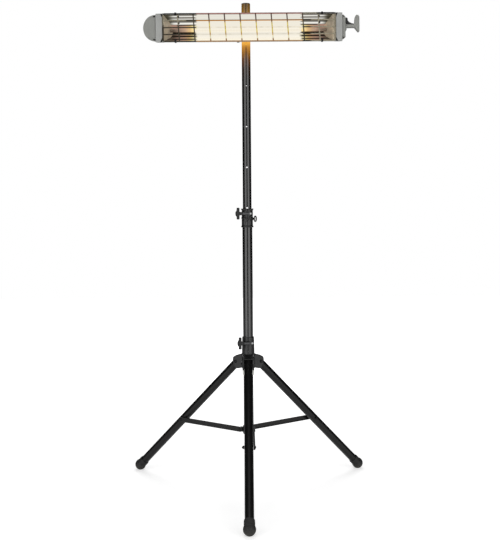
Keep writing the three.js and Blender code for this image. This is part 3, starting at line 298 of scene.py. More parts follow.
def addNode(tree, kind, inputs=None, stops=None, **settings):
    node = tree.nodes.new("ShaderNode" + kind)
    for name, value in settings.items():
        setattr(node, name, value)
    for socket, value in (inputs or {}).items():
        if isinstance(value, bpy.types.NodeSocket):
            tree.links.new(value, node.inputs[socket])
        else:
            node.inputs[socket].default_value = value
    for i, (place, shade) in enumerate(stops or []):
        ramp = node.color_ramp.elements
        element = ramp[i] if i < 2 else ramp.new(place)
        element.position = place
        element.color = colour(shade) if isinstance(shade, str) else (shade, shade, shade, 1)
    return node


def maths(tree, kind, first, second):
    return addNode(tree, "Math", {0: first, 1: second}, operation=kind).outputs["Value"]


def mapped(tree, value, start, end, low=0.0, high=1.0, smooth=False):  # from start..end to low..high
    spans = {"Value": value, "From Min": start, "From Max": end, "To Min": low, "To Max": high}
    kind = "SMOOTHSTEP" if smooth else "LINEAR"
    return addNode(tree, "MapRange", spans, interpolation_type=kind).outputs["Result"]


def ramp(tree, share, stops):  # the first two stops are the ends
    return addNode(tree, "ValToRGB", {"Fac": share}, stops).outputs["Color"]


def noise(tree, place, scale, detail, roughness=0.5):
    settings = {"Vector": place, "Scale": scale, "Detail": detail, "Roughness": roughness}
    return addNode(tree, "TexNoise", settings).outputs["Fac"]


def startFinish(name):
    finish = bpy.data.materials.new(name)
    finish.use_nodes = True
    tree = finish.node_tree
    tree.nodes.clear()
    shader = addNode(tree, "BsdfPrincipled")
    addNode(tree, "OutputMaterial", {"Surface": shader.outputs["BSDF"]})
    place = addNode(tree, "TexCoord").outputs["Object"]
    return finish, tree, shader, place


def surface(name, look):  # base colour, drift, grain and lighter edges (rubbed wear and a painted sheen), from one dictionary
    finish, tree, shader, place = startFinish(name)
    stretch = look.get("stretch", (1, 1, 1))
    grainPlace = addNode(tree, "Mapping", {"Vector": place, "Scale": stretch}).outputs["Vector"]
    grain = noise(tree, grainPlace, 1000 / look["grain"], 2.0, 0.55)
    drift = noise(tree, place, 1000 / look["patch"], 4.0, 0.6)
    tone = addNode(tree, "ValToRGB", {"Fac": drift}, [(0.3, look["deep"]), (0.7, look["colour"])])
    base = tone.outputs["Color"]
    speck = mapped(tree, grain, 0.35, 0.75, 0.0, look.get("speck", 0.25))
    base = addNode(tree, "MixRGB", {"Fac": speck, "Color1": base,
                                    "Color2": colour(look["light"])}).outputs["Color"]
    # lighter edges: partly rubbed wear, partly a painted sheen along the edges
    if look.get("edgeWearAndSheen"):
        edge = addNode(tree, "Bevel", {"Radius": look["edgeWearAndSheenWidth"] / 1000}, samples=4).outputs["Normal"]
        flat = addNode(tree, "NewGeometry").outputs["Normal"]
        turn = addNode(tree, "VectorMath", {0: edge, 1: flat}, operation="DOT_PRODUCT").outputs["Value"]
        rubAndSheen = mapped(tree, turn, 0.985, 0.86)
        rubAndSheen = maths(tree, "MULTIPLY", rubAndSheen, drift)
        rubAndSheen = maths(tree, "MULTIPLY", rubAndSheen, look["edgeWearAndSheen"])
        base = addNode(tree, "MixRGB", {"Fac": rubAndSheen, "Color1": base,
                                        "Color2": colour(look["edgeWearAndSheenColour"])}).outputs["Color"]
    tree.links.new(base, shader.inputs["Base Color"])
    low, high = look["roughness"]
    rough = mapped(tree, drift, 0.3, 0.7, low, high)
    tree.links.new(rough, shader.inputs["Roughness"])
    bump = addNode(tree, "Bump", {"Height": grain, "Strength": look.get("bumpStrength", 0.3),
                                  "Distance": look["bump"] / 1000}).outputs["Normal"]
    tree.links.new(bump, shader.inputs["Normal"])
    shader.inputs["Metallic"].default_value = look.get("metallic", 0.0)
    if not look.get("metallic"):
        shader.inputs["IOR"].default_value = look.get("ior", 1.5)
    shader.inputs["Specular IOR Level"].default_value = look.get("specular", 0.5)
    return finish


# Polyester powder coat on steel tube: satin black, with a fine orange peel that breaks up the shine.
# The real peel is about 0.8 mm across, too fine to show, so it is drawn at 1.6 mm.
powderLook = dict(
    colour="#0c0c0c", deep="#080808", light="#151514", grain=1.6, patch=160, speck=0.2, bump=0.02,
    bumpStrength=0.2, roughness=(0.2, 0.23), specular=1.0,
    edgeWearAndSheen=0.3, edgeWearAndSheenWidth=0.8, edgeWearAndSheenColour="#4a4a48")
powderCoat = surface("blackPowderCoat", powderLook)

# The same powder coat on the legs and braces, duller: dark tubes with a soft, narrow stripe.
tripodCoat = surface("tripodPowderCoat", dict(powderLook, roughness=(0.3, 0.34), specular=0.5))

# Glass filled nylon, injection moulded in a spark eroded mould: charcoal, dull, finely pebbled. Its lighter
# edges are partly wear, partly a painted highlight.
mouldedNylon = surface("glassFilledNylon", dict(
    colour="#151616", deep="#0f1010", light="#242524", grain=1.1, patch=60, speck=0.35, bump=0.05,
    bumpStrength=0.3, roughness=(0.36, 0.42), ior=1.53, specular=0.62,
    edgeWearAndSheen=0.6, edgeWearAndSheenWidth=0.8, edgeWearAndSheenColour="#525352"))

# Unfilled nylon, turned or moulded: milky white and slightly waxy.
whiteNylon = surface("whiteNylon", dict(
    colour="#f0f0ea", deep="#e4e4dd", light="#f8f8f4", grain=2.5, patch=25, bump=0.03,
    roughness=(0.32, 0.45), ior=1.53))

# Zinc plated steel: bright and slightly blue, with fine turning marks.
zincSteel = surface("zincPlatedSteel", dict(
    colour="#e2e4e4", deep="#d2d4d5", light="#f0f2f1", grain=0.9, patch=6, stretch=(1, 4, 4), bump=0.02,
    roughness=(0.36, 0.48), metallic=0.6))

# Blackened steel fasteners: oxide finish, dark with a dull metallic shine.
blackSteel = surface("blackOxideSteel", dict(
    colour="#1c1c1d", deep="#121213", light="#2e2e2f", grain=0.9, patch=9, bump=0.03,
    roughness=(0.32, 0.45), metallic=0.6, edgeWearAndSheen=0.5, edgeWearAndSheenWidth=0.4, edgeWearAndSheenColour="#6a6a68"))

# Steel tube in a dull mid grey, lighter than the black moulding round it: a painted highlight along the
# clamp bar.
highlightGreySteel = surface("steelSleevePaintedHighlight", dict(
    colour="#5e5f60", deep="#4e4f50", light="#727374", grain=0.9, patch=7, stretch=(1, 4, 4), bump=0.02,
    roughness=(0.42, 0.52), metallic=0.4))

# Epoxy powder on die cast aluminium: warm mid grey, almost flat, with a very fine sparkle.
greyEnamel = surface("greyCastEnamel", dict(
    colour="#8f908b", deep="#868782", light="#a3a4a0", grain=1.0, patch=70, speck=0.3, bump=0.05,
    bumpStrength=0.3, roughness=(0.4, 0.5), specular=0.4,
    edgeWearAndSheen=0.7, edgeWearAndSheenWidth=0.9, edgeWearAndSheenColour="#b4b5b2"))

# The end frames: the same enamel from another batch, a shade lighter and shinier.
paleEnamel = surface("greyFrameEnamel", dict(
    colour="#a3a4a1", deep="#999a97", light="#b6b7b4", grain=1.0, patch=55, speck=0.3, bump=0.04,
    bumpStrength=0.3, roughness=(0.34, 0.44), specular=0.45,
    edgeWearAndSheen=0.7, edgeWearAndSheenWidth=0.9, edgeWearAndSheenColour="#c6c7c4"))

# Steatite porcelain, pressed and fired: cream, dense and slightly glossy.
steatite = surface("steatitePorcelain", dict(
    colour="#e3ddcd", deep="#d4cbb8", light="#efeadf", grain=1.2, patch=14, bump=0.05,
    roughness=(0.3, 0.42), ior=1.6))

# Painted shade: matt black, slightly dusty pieces set where the deep corners show dark.
paintedShadeBlack = surface("blackPaintedShade", dict(
    colour="#2a2824", deep="#1d1c19", light="#3a3731", grain=1.5, patch=20, bump=0.04,
    roughness=(0.6, 0.75)))


def withDust(finish, height, shade, amount):  # floor dust on the lowest part
    tree = finish.node_tree
    shader = tree.nodes["Principled BSDF"]
    base = shader.inputs["Base Color"].links[0].from_socket
    place = tree.nodes["Texture Coordinate"].outputs["Object"]
    rise = addNode(tree, "SeparateXYZ", {"Vector": place}).outputs["Z"]
    patchy = noise(tree, place, 90.0, 5.0)
    level = mapped(tree, rise, height / 1000, 0.0, 0.0, amount)
    level = maths(tree, "MULTIPLY", level, patchy)
    mixed = addNode(tree, "MixRGB", {"Fac": level, "Color1": base, "Color2": colour(shade)})
    tree.links.new(mixed.outputs["Color"], shader.inputs["Base Color"])
    return finish


# Moulded natural rubber: soft black with a bloom, and pale dust where it meets the ground.
footRubber = withDust(surface("mouldedRubber", dict(
    colour="#232323", deep="#191919", light="#3a3a39", grain=1.3, patch=30, speck=0.4, bump=0.1,
    bumpStrength=0.4, roughness=(0.5, 0.68), specular=0.45)), 26, "#7d7a72", 0.5)


# Mm, in the head's frame.
lamp = dict(hotLeft=-200, hotRight=220, left=-310, right=328, y=-53.3, radius=6)


def hotZone(tree, place, soft=10.0):  # 1 along the lit part of the lamp, 0 at its cold ends
    along = addNode(tree, "SeparateXYZ", {"Vector": place}).outputs["X"]
    stretched = addNode(tree, "Mapping", {"Vector": place,
                                          "Scale": (4.0, 140.0, 140.0)}).outputs["Vector"]
    ragged = noise(tree, stretched, 1.0, 1.0)
    shift = mapped(tree, ragged, 0.3, 0.7, -0.006, 0.006)
    along = maths(tree, "ADD", along, shift)
    rise = mapped(tree, along, lamp["hotLeft"] / 1000, (lamp["hotLeft"] + soft) / 1000, smooth=True)
    fall = mapped(tree, along, (lamp["hotRight"] - soft) / 1000, lamp["hotRight"] / 1000, 1.0, 0.0,
                  smooth=True)
    return maths(tree, "MULTIPLY", rise, fall)


def headSpot(tree, place):  # X and Z in the head's frame, in metres
    local = addNode(tree, "VectorMath",
                    {0: place, 1: tuple(-pivotOf("head_tilt") / 1000)}).outputs["Vector"]
    axes = addNode(tree, "SeparateXYZ", {"Vector": local})
    return axes.outputs["X"], axes.outputs["Z"]


def between(tree, value, start, end, low=0.0, high=1.0):  # start and end in mm, smooth in between
    return mapped(tree, value, start / 1000, end / 1000, low, high, smooth=True)


def blend(tree, share, first, second, kind="MIX"):
    first, second = [colour(value) if isinstance(value, str) else value for value in (first, second)]
    return addNode(tree, "MixRGB", {"Fac": share, "Color1": first, "Color2": second},
                   blend_type=kind).outputs["Color"]


# Where the flutes of the cold parts throw the lamp's light to the viewer, as heights in mm from the lamp,
# each with how light it is; between them the flutes mirror the dark inside.
fluteLights = [(-50, 0.7), (-45, 0.7), (-42.5, 0.0), (-33.5, 0.0), (-32, 0.75), (-27, 0.75), (-25, 0.0),
               (-17.5, 0.0), (-15.5, 0.8), (-10.5, 0.8), (-8.5, 0.0), (-1.5, 0.0), (0.5, 0.95),
               (19.5, 0.95), (21, 0.1), (24, 0.1), (25, 1.0), (29, 1.0), (31, 0.12), (37.5, 0.12),
               (39, 0.9), (40.8, 0.9), (41.8, 0.0), (43.5, 0.0), (44.8, 0.9), (47.4, 0.9), (48.6, 0.1)]


# Bright rolled aluminium, lit by the lamp in the middle, with that light painted on as emission; the dark
# between the flute reflections is painted shade.
def reflectorFinish():
    finish, tree, shader, place = startFinish("brightRolledAluminium")
    along, height = headSpot(tree, place)
    level = mapped(tree, height, -0.05, 0.05)
    stops = [((z + 50) / 100, light) for z, light in fluteLights]
    stops = [stops[0], stops[-1]] + stops[1:-1]
    bands = ramp(tree, level, stops)
    fromLeft = between(tree, along, -292, lamp["hotLeft"])
    fromRight = between(tree, along, 322, lamp["hotRight"])
    near = maths(tree, "MINIMUM", fromLeft, fromRight)
    # painted light: browner far from the lamp, cream near it
    warm = ramp(tree, near, [(0.0, "#5a4c40"), (1.0, "#fff4c4"), (0.2, "#a08474"), (0.4, "#c29c88"),
                             (0.65, "#d4aa8a"), (0.85, "#e0b880"), (0.95, "#f6de96")])
    clear = maths(tree, "MINIMUM", between(tree, along, -304, -272), between(tree, along, 320, 290))
    cool = ramp(tree, clear, [(0.0, "#4c4a3e"), (1.0, "#fbf9f2"), (0.4, "#b4b2a8"), (0.7, "#e2e0d8")])
    light = blend(tree, between(tree, height, 21, 25), warm, cool)
    # painted shade: the dark the flutes mirror between the bright bands
    dark = blend(tree, between(tree, height, 18, 32), "#17130f", "#2c2a1e")
    cold = blend(tree, bands, dark, light)
    # the end plates are mirrored in the sheet beside them
    beside = maths(tree, "MAXIMUM", between(tree, along, -266, -273), between(tree, along, 277, 284))
    middle = maths(tree, "MULTIPLY", between(tree, height, 2, 6), between(tree, height, 25, 22))
    mirrored = maths(tree, "MULTIPLY", beside, middle)
    cold = blend(tree, mirrored, cold, "#ad8b7a")
    stretched = addNode(tree, "Mapping", {"Vector": place,
                                          "Scale": (5.0, 500.0, 500.0)}).outputs["Vector"]
    lines = noise(tree, stretched, 1.0, 2.0)
    streak = mapped(tree, lines, 0.3, 0.7, 0.82, 1.06)
    cold = blend(tree, 1.0, cold, streak, "MULTIPLY")
    hot = hotZone(tree, place)
    lit = blend(tree, between(tree, height, 30, 38), "#f7f1e2", "#ebe8dd")
    lit = blend(tree, between(tree, height, -22, -40), lit, "#eae2cf")
    faint = mapped(tree, lines, 0.62, 0.72, 0.0, 0.25)
    lit = blend(tree, faint, lit, "#d9d2c0")
    # only the side towards the lamp is lit: the back shows dull through the cooling slots
    facing = addNode(tree, "SeparateXYZ", {"Vector": addNode(tree,
            "TexCoord").outputs["Normal"]}).outputs["Y"]
    inside = mapped(tree, facing, 0.0, -0.05)
    glow = blend(tree, inside, "#000000", blend(tree, hot, cold, lit))
    tree.links.new(glow, shader.inputs["Emission Color"])
    shader.inputs["Emission Strength"].default_value = 0.94
    tree.links.new(blend(tree, hot, "#2c2922", "#0b0a08"), shader.inputs["Base Color"])
    shader.inputs["Metallic"].default_value = 1.0
    shader.inputs["Roughness"].default_value = 0.24
    return finish


def endPlateFinish():  # the same sheet across the ends, dulled by heat to a brownish grey
    finish, tree, shader, place = startFinish("heatDulledAluminium")
    along, height = headSpot(tree, place)
    cloud = noise(tree, place, 38.0, 3.0)
    sheet = ramp(tree, cloud, [(0.35, "#9a9080"), (0.65, "#b4a892")])
    # painted light: the lamp's light shows pink on the inner, upper part of each plate
    pink = ramp(tree, cloud, [(0.35, "#b09684"), (0.65, "#d6b496")])
    left = between(tree, along, -306, -270)
    right = between(tree, along, 326, 290)
    inner = maths(tree, "MINIMUM", left, right)
    upper = between(tree, height, -6, 6, 0.35, 1.0)
    inner = maths(tree, "MULTIPLY", inner, upper)
    base = blend(tree, inner, sheet, pink)
    # painted shade: a dark band on the left lip
    edge = between(tree, along, -315, -318)
    base = blend(tree, edge, base, "#3a3629")
    tree.links.new(base, shader.inputs["Base Color"])
    tree.links.new(base, shader.inputs["Emission Color"])  # the lamp's light thrown back and forth
    shader.inputs["Emission Strength"].default_value = 0.3
    shader.inputs["Metallic"].default_value = 0.35
    shader.inputs["Roughness"].default_value = 0.42
    return finish


def lampFinish():  # quartz tube: white hot along the coil, smoky where the coil ends, with warm light painted on those ends
    finish, tree, shader, place = startFinish("quartzLampGlass")
    hot = hotZone(tree, place, 4.0)
    along = addNode(tree, "SeparateXYZ", {"Vector": place}).outputs["X"]
    turns = addNode(tree, "Math", {0: along, 1: 1000 * 2 * math.pi / 6.0}, operation="MULTIPLY")
    coil = maths(tree, "SINE", turns.outputs["Value"], 0.0)
    coil = mapped(tree, coil, -1.0, 1.0)
    light = blend(tree, coil, "#efe6d2", "#f4eddd")
    headAlong = headSpot(tree, place)[0]
    near = maths(tree, "MINIMUM", between(tree, headAlong, -292, lamp["hotLeft"]),
                 between(tree, headAlong, 322, lamp["hotRight"]))
    # painted light on the cold ends: dark brown far from the coil, gold near it
    ends = ramp(tree, near, [(0.0, "#3a3028"), (1.0, "#f2d894"), (0.3, "#866e60"), (0.65, "#ac8c72"),
                             (0.9, "#d2ae76")])
    light = blend(tree, hot, ends, light)
    tree.links.new(light, shader.inputs["Emission Color"])
    shader.inputs["Emission Strength"].default_value = 1.0
    smoke = noise(tree, place, 60.0, 3.0)
    glass = ramp(tree, smoke, [(0.3, "#4a4238"), (0.7, "#7c7364")])
    tree.links.new(blend(tree, hot, glass, "#15120e"), shader.inputs["Base Color"])
    shader.inputs["Roughness"].default_value = 0.08
    shader.inputs["IOR"].default_value = 1.46
    return finish


# Stainless wire, browned by heat; in front of the lamp, the lamp's light is painted on as emission, with a
# shade for each height.
def guardFinish(name, paintedGlow):
    finish, tree, shader, place = startFinish(name)
    along, height = headSpot(tree, place)
    hot = between(tree, along, -194, -188)
    hot = maths(tree, "MULTIPLY", hot, between(tree, along, 221, 215))
    patches = noise(tree, place, 45.0, 3.0)
    dull = ramp(tree, patches, [(0.3, "#2e2a21"), (0.7, "#48412f")])
    beige = ramp(tree, patches, [(0.3, "#8b8470"), (0.7, "#aaa18b")])
    bareLeft = maths(tree, "MULTIPLY", between(tree, along, -225, -235), between(tree, height, 6, 14))
    bareRight = between(tree, along, 245, 255)
    bare = maths(tree, "MAXIMUM", bareLeft, bareRight)
    cold = blend(tree, bare, dull, beige)
    # the top of the rim is near black, but for a pale stretch on the right
    paleRimStretch = maths(tree, "MULTIPLY", between(tree, along, 215, 222), between(tree, along, 280, 268))
    cold = blend(tree, between(tree, height, 47, 49.5), cold, blend(tree, paleRimStretch, "#100e0a", "#8b8470"))
    tree.links.new(blend(tree, hot, cold, "#1a120b"), shader.inputs["Base Color"])
    level = mapped(tree, height, -0.05, 0.05)
    # painted light: the shade each height of wire shows in front of the lamp
    shades = [(0.5 + place, shade) for place, shade in paintedGlow]
    shine = ramp(tree, level, [shades[0], shades[-1]] + shades[1:-1])
    uneven = mapped(tree, patches, 0.35, 0.65, 0.86, 1.06)
    shine = blend(tree, 1.0, shine, uneven, "MULTIPLY")
    # wires above the lamp are lit from below, so their upper side is darker
    facing = addNode(tree, "SeparateXYZ", {"Vector": addNode(tree,
            "NewGeometry").outputs["Normal"]}).outputs["Z"]
    upper = mapped(tree, facing, -0.3, 0.35, 1.0, 0.25)
    shine = blend(tree, between(tree, height, 18, 24), shine, blend(tree, 1.0, shine, upper, "MULTIPLY"))
    tree.links.new(blend(tree, hot, "#000000", shine), shader.inputs["Emission Color"])
    shader.inputs["Emission Strength"].default_value = 0.95
    shader.inputs["Metallic"].default_value = 0.3
    shader.inputs["Roughness"].default_value = 0.4
    return finish


def poleFinish():  # the powder coat of the pole, with the lamp's orange light on its front near the head
    finish = surface("litPowderCoat", powderLook)
    tree = finish.node_tree
    shader = tree.nodes["Principled BSDF"]
    place = tree.nodes["Texture Coordinate"].outputs["Object"]
    rise = addNode(tree, "SeparateXYZ", {"Vector": place}).outputs["Z"]
    level = mapped(tree, rise, 1.54, 1.96)
    rims = ramp(tree, level, [(0.0, "#000000"), (1.0, "#4a3410"), (0.25, "#0c0602"), (0.36, "#2a1604"),
                              (0.44, "#5e360c"), (0.5, "#94621a"), (0.56, "#c8862a"), (0.6, "#ffb94a"),
                              (0.85, "#b88030"), (0.9, "#8a6220")])
    middle = ramp(tree, level, [(0.0, "#000000"), (1.0, "#46361c"), (0.25, "#080504"), (0.36, "#1e140c"),
                                (0.44, "#2e1c0a"), (0.5, "#5c3c12"), (0.55, "#8a5a1c"), (0.6, "#ffb94a"),
                                (0.85, "#96662a"), (0.9, "#54401c")])
    facing = addNode(tree, "SeparateXYZ", {"Vector": addNode(tree, "NewGeometry").outputs["Normal"]})
    turn = maths(tree, "ABSOLUTE", facing.outputs["X"], 0.0)
    side = mapped(tree, turn, 0.1, 0.26, smooth=True)
    front = mapped(tree, facing.outputs["Y"], 0.0, -0.3)
    glow = blend(tree, side, middle, rims)
    tree.links.new(blend(tree, front, "#000000", glow), shader.inputs["Emission Color"])
    shader.inputs["Emission Strength"].default_value = 0.9
    return finish


bores = dict(bolt=3.3, pivot=4.3)  # radii of the holes for 6 mm and 8 mm bolts
clearance = 0.3  # between neighbouring pieces
pole = dict(radius=17.5, wall=1.8, bottom=862, top=1949, holeRadius=3.8, holeFirst=966.5, holePitch=164,
            holes=6)
baseTube = dict(radius=20, wall=1.8, bottom=224, top=1076)


def tubeProfile(radius, wall, bottom, top, edge=0.5):
    inner = radius - wall
    return rounded([(inner, bottom, edge), (radius, bottom, edge), (radius, top, edge),
                    (inner, top, edge)], 3)


def makePole():
    tube = turned(tubeProfile(pole["radius"], pole["wall"], pole["bottom"], pole["top"]), 72)
    heights = [pole["holeFirst"] + i * pole["holePitch"] for i in range(pole["holes"])]
    ends = [30] * (pole["holes"] - 1) + [0]  # the top hole goes through the front wall only
    cut(tube, *[rod((0, -30, z), (0, end, z), pole["holeRadius"], sides=32) for z,
                end in zip(heights, ends)])
    columnPiece("upperPole", tube, poleFinish(), "mast", ["upper_pole"])
    top = pole["top"]
    stem = pole["radius"] - pole["wall"] - 0.3
    cap = turned(rounded([(0, top - 20), (stem, top - 20, 1), (stem, top + 0.3),
                          (pole["radius"], top + 0.3, 0.3), (pole["radius"], top + 2.4, 1.6),
                          (9, top + 3, 2), (8, top + 2.2, 1), (0, top + 2.2)]), 72)
    columnPiece("topCap", cap, mouldedNylon, "mast", ["top_cap"])


def makeBaseTube():
    tube = turned(tubeProfile(baseTube["radius"], baseTube["wall"], baseTube["bottom"], baseTube["top"]),
                  72)
    columnPiece("baseTube", tube, powderCoat, "base", ["base_tube"])


knob = dict(height=47, armX=-13.6, arm=11.6, thickness=14, bulge=5.1)


def knobPlace(owner):  # from the start of its neck
    return Matrix.Translation(pivotOf(owner + "_knob_turn") - Vector((knob["armX"], 0, 0)))


def knobShape(height=knob["height"]):  # a T with rounded arms; its bolt lies along X and it reaches to -X
    half = height / 2
    near = knob["armX"] + knob["arm"] / 2
    far = near - knob["arm"]
    thick = knob["thickness"] / 2
    side = [(near, half, 3), (near, 6.8, 4.5), (-1.5, 5.6, 1)]
    outline = side + [(x, -z, r) for x, z, r in reversed(side)]
    waist = half * 0.55
    outline += [(far, -half, 3), (far, -waist, 6), (far - knob["bulge"], -half * 0.24, 12),
                (far - knob["bulge"], half * 0.24, 12), (far, waist, 6), (far, half, 3)]
    wings = softened(prism(rounded(outline, 6), -thick, thick, "y"), 3.6, 5)
    neck = rod((knob["armX"], 0, 0), (2.5, 0, 0), 8, 6.2, 0.8, 40)
    hollows = []
    for up in (-1, 1):  # moulded pockets on both faces of each arm, with a rib between them
        for face in (-1, 1):
            for middle in (near - 3.4, far + 3.4):
                pocket = [(middle - 1.2, up * (half - 4), 1), (middle - 1.2, up * 9.5, 1),
                          (middle + 1.2, up * 9.5, 1), (middle + 1.2, up * (half - 4), 1)]
                y = face * thick
                hollows.append(prism(rounded(pocket, 4), min(y + face * 2, y - face * 1.3),
                                     max(y + face * 2, y - face * 1.3), "y"))
    return cut(fused(wings, neck), *hollows)


def hexHead(start, end, radius, washer=0.0):
    length = (Vector(end) - Vector(start)).length
    profile = [(0, 0), (radius * 0.93, 0), (radius, 0.5), (radius, length - 0.5), (radius * 0.9, length),
               (0, length)]
    nut = placed(turned(profile, 6), standing(start, end))
    if not washer:
        return nut
    inward = (Vector(start) - Vector(end)).normalized()
    disc = rod(Vector(start) + inward * 1.2, Vector(start) + inward * 0.02, washer, None, 0.25, 32)
    return gathered(nut, disc)


def makeClamps():
    # Of each knob: its body, the bolt's body, the end of the bolt's tail from the knob's neck, the length of
    # its hexagon, the radii of its shank and its hexagon, and the knob's height.
    bolts = {
        "collar": ("collar_knob", "base", 17 + 23, 7, 3, 4.2, knob["height"]),
        "hub": ("hub_knob", "hub", 21 + 18.5, 8, 3, 4.2, knob["height"]),
        "tilt": ("tilt_knob", "head", 16 + 12.5, 5, 4, 7, 33),
    }
    for owner, (body, carrier, tail, hexLength, radius, hexRadius, height) in bolts.items():
        place = knobPlace(owner)
        makePiece(owner + "Knob", knobShape(height), mouldedNylon, body,
                  [owner + "_knob"], place)
        nut = hexHead((tail - hexLength, 0, 0), (tail - 1.2, 0, 0), hexRadius)
        stub = rod((tail - 1.4, 0, 0), (tail, 0, 0), radius, radius - 0.6, 0, 24)
        makePiece(owner + "Bolt", gathered(nut, stub), zincSteel, carrier,
                  [owner + "_bolt"], place)
        shank = rod((knob["armX"], 0, 0), (tail - hexLength + 1, 0, 0), radius, None, 0, 24)
        makePiece(owner + "Shank", shank, blackSteel, carrier, (), place)
    for owner, settings, carrier, start, end in (("collar", collar, "base", -19, 9.6),
                                                 ("hub", hub, "hub", -15, 12.6)):
        y, z = settings["boltY"] - 2.8, settings["boltZ"]
        # the sleeve's mid grey is a painted highlight along the clamp bar
        sleeve = rod((start, y, z), (end, y, z), 5.2, None, 0.5, 32)
        columnPiece(owner + "BoltSleeve", sleeve, highlightGreySteel, carrier)
    stud = rod((-2, 0, 0), (30, 0, 0), 3, None, 0.4, 24)
    makePiece("clampKnob", gathered(knobShape(), stud), mouldedNylon, "clamp_knob",
              ["clamp_knob"], knobPlace("clamp"))


collar = dict(bottom=1053, top=1128.6, radius=22.5, flange=25, band=1090.5, boltZ=1108.5, boltY=-28,
              slotX=-4, slot=4, pinZ=1087)


def makeUpperCollar():
    inner = baseTube["radius"] + clearance
    low, high, band = collar["bottom"], collar["top"], collar["band"]
    radius, flange = collar["radius"], collar["flange"]
    sleeve = turned(rounded([
        (inner, low), (flange - 0.5, low, 1.2), (flange, low + 3.5, 1.5), (radius, low + 7.5, 1),
        (radius, band - 4, 1), (flange - 1, band - 2.5, 1), (flange - 1, band + 2.5, 1),
        (radius, band + 4, 1), (radius, high - 7, 1), (flange, high - 4, 1.5), (flange - 0.4, high, 1.4),
        (inner, high)], 4), 96)
    y, z = collar["boltY"], collar["boltZ"]
    boss = rod((-20, y, z), (9, y, z), 6.5, None, 1, 40)
    web = softened(block(-12, 6, y, -inner - 0.2, z - 5, z + 5), 1, 2)
    pinBoss = rod((21.5, 0, collar["pinZ"]), (24.3, 0, collar["pinZ"]), 6.4, 6, 0.4, 40)
    # a raised Y below the clamp, whose arms run up to both sides of the slit
    arms = [prism([(x0, z0), (x0 + 2.6, z0), (x1 + 2.6, z1), (x1, z1)], -24.6, -20, "y")
            for x0, z0, x1, z1 in ((-1.3, low + 20, -13, band + 7), (-1.3, low + 20, 10.4, band + 7),
                                   (-1.3, low + 6, -1.3, low + 21))]
    ribs = [copied(arm, Matrix.Rotation(angle, 4, "Z")) for arm in arms for angle in (0, math.pi)]
    for arm in arms:
        bpy.data.objects.remove(arm)
    bore = turned([(0, low - 5), (inner, low - 5), (inner, high + 5), (0, high + 5)], 96)
    body = fused(sleeve, boss, web, pinBoss, *ribs)
    left = collar["slotX"] - collar["slot"] / 2
    slot = block(left, left + collar["slot"], -50, -15, low + 9, high + 5)
    boltBore = rod((-30, y, z), (20, y, z), bores["bolt"])
    pinHole = rod((15, 0, collar["pinZ"]), (35, 0, collar["pinZ"]), bores["bolt"])
    windows = []
    # Shallow windows round the lower half, a rib between each.
    for turn in (-28, 28, 62, 118, 152, 208, 242, 298):
        window = softened(block(-4, 4, -26, -21.9, low + 10, low + 24), 0.8, 2)
        windows.append(placed(window, Matrix.Rotation(math.radians(turn), 4, "Z")))
    cut(body, bore, slot, boltBore, pinHole, *windows)
    columnPiece("upperCollar", body, mouldedNylon, "base", ["upper_collar"])
    bush = turned(rounded([(17.8, 1076.3), (20, 1076.3, 0.4), (20, high - 1, 0.6),
                           (17.8, high - 1, 0.6)], 3), 64)
    cut(bush, block(left, left + collar["slot"], -50, -10, 1060, high + 5))
    columnPiece("collarBush", bush, whiteNylon, "base", ["collar_bush"])


def makeSafetyPin():
    shank = rod((20.6, 0, 0), (26, 0, 0), 3, None, 0.6, 32)
    head = placed(turned(rounded([(0, 24.6), (4.6, 24.6, 0.8), (4.6, 31, 1.6), (0, 31)], 4), 48),
                  Matrix.Rotation(math.pi / 2, 4, "Y"))
    pin = cut(fused(shank, head), rod((27.8, 0, -10), (27.8, 0, 10), 2.5, None, 0, 24))
    place = columnPlace @ Matrix.Translation((0, 0, collar["pinZ"]))
    makePiece("safetyPin", pin, blackSteel, "safety_pin", ["safety_pin"], place)
    turns = [2 * math.pi * k / 48 for k in range(48)]
    loop = wire([(32 + 4.2 * math.cos(a), 0, 10.6 * math.sin(a)) for a in turns],
                [2.5 + 0.3 * math.cos(a) for a in turns], 16, True)
    makePiece("pinRing", loop, blackSteel, "pin_ring", ["pin_ring"], place)


hub = dict(bottom=484, shoulder=543, top=612, topRadius=24, shoulderRadius=25.7, boltY=-31, boltZ=588.5,
           bush=22.2, slotBottom=560, slot=2, yokeWidth=47.5, cheek=6.5, reach=60, web=4.5)
tripod = dict(pivotRadius=47, pivotHeight=511, footReach=544, ballHeight=21.2, ball=23, legRadius=16.75,
              braceInner=28, braceHeight=237, bracePin=378, braceTall=20, braceThick=6.3)


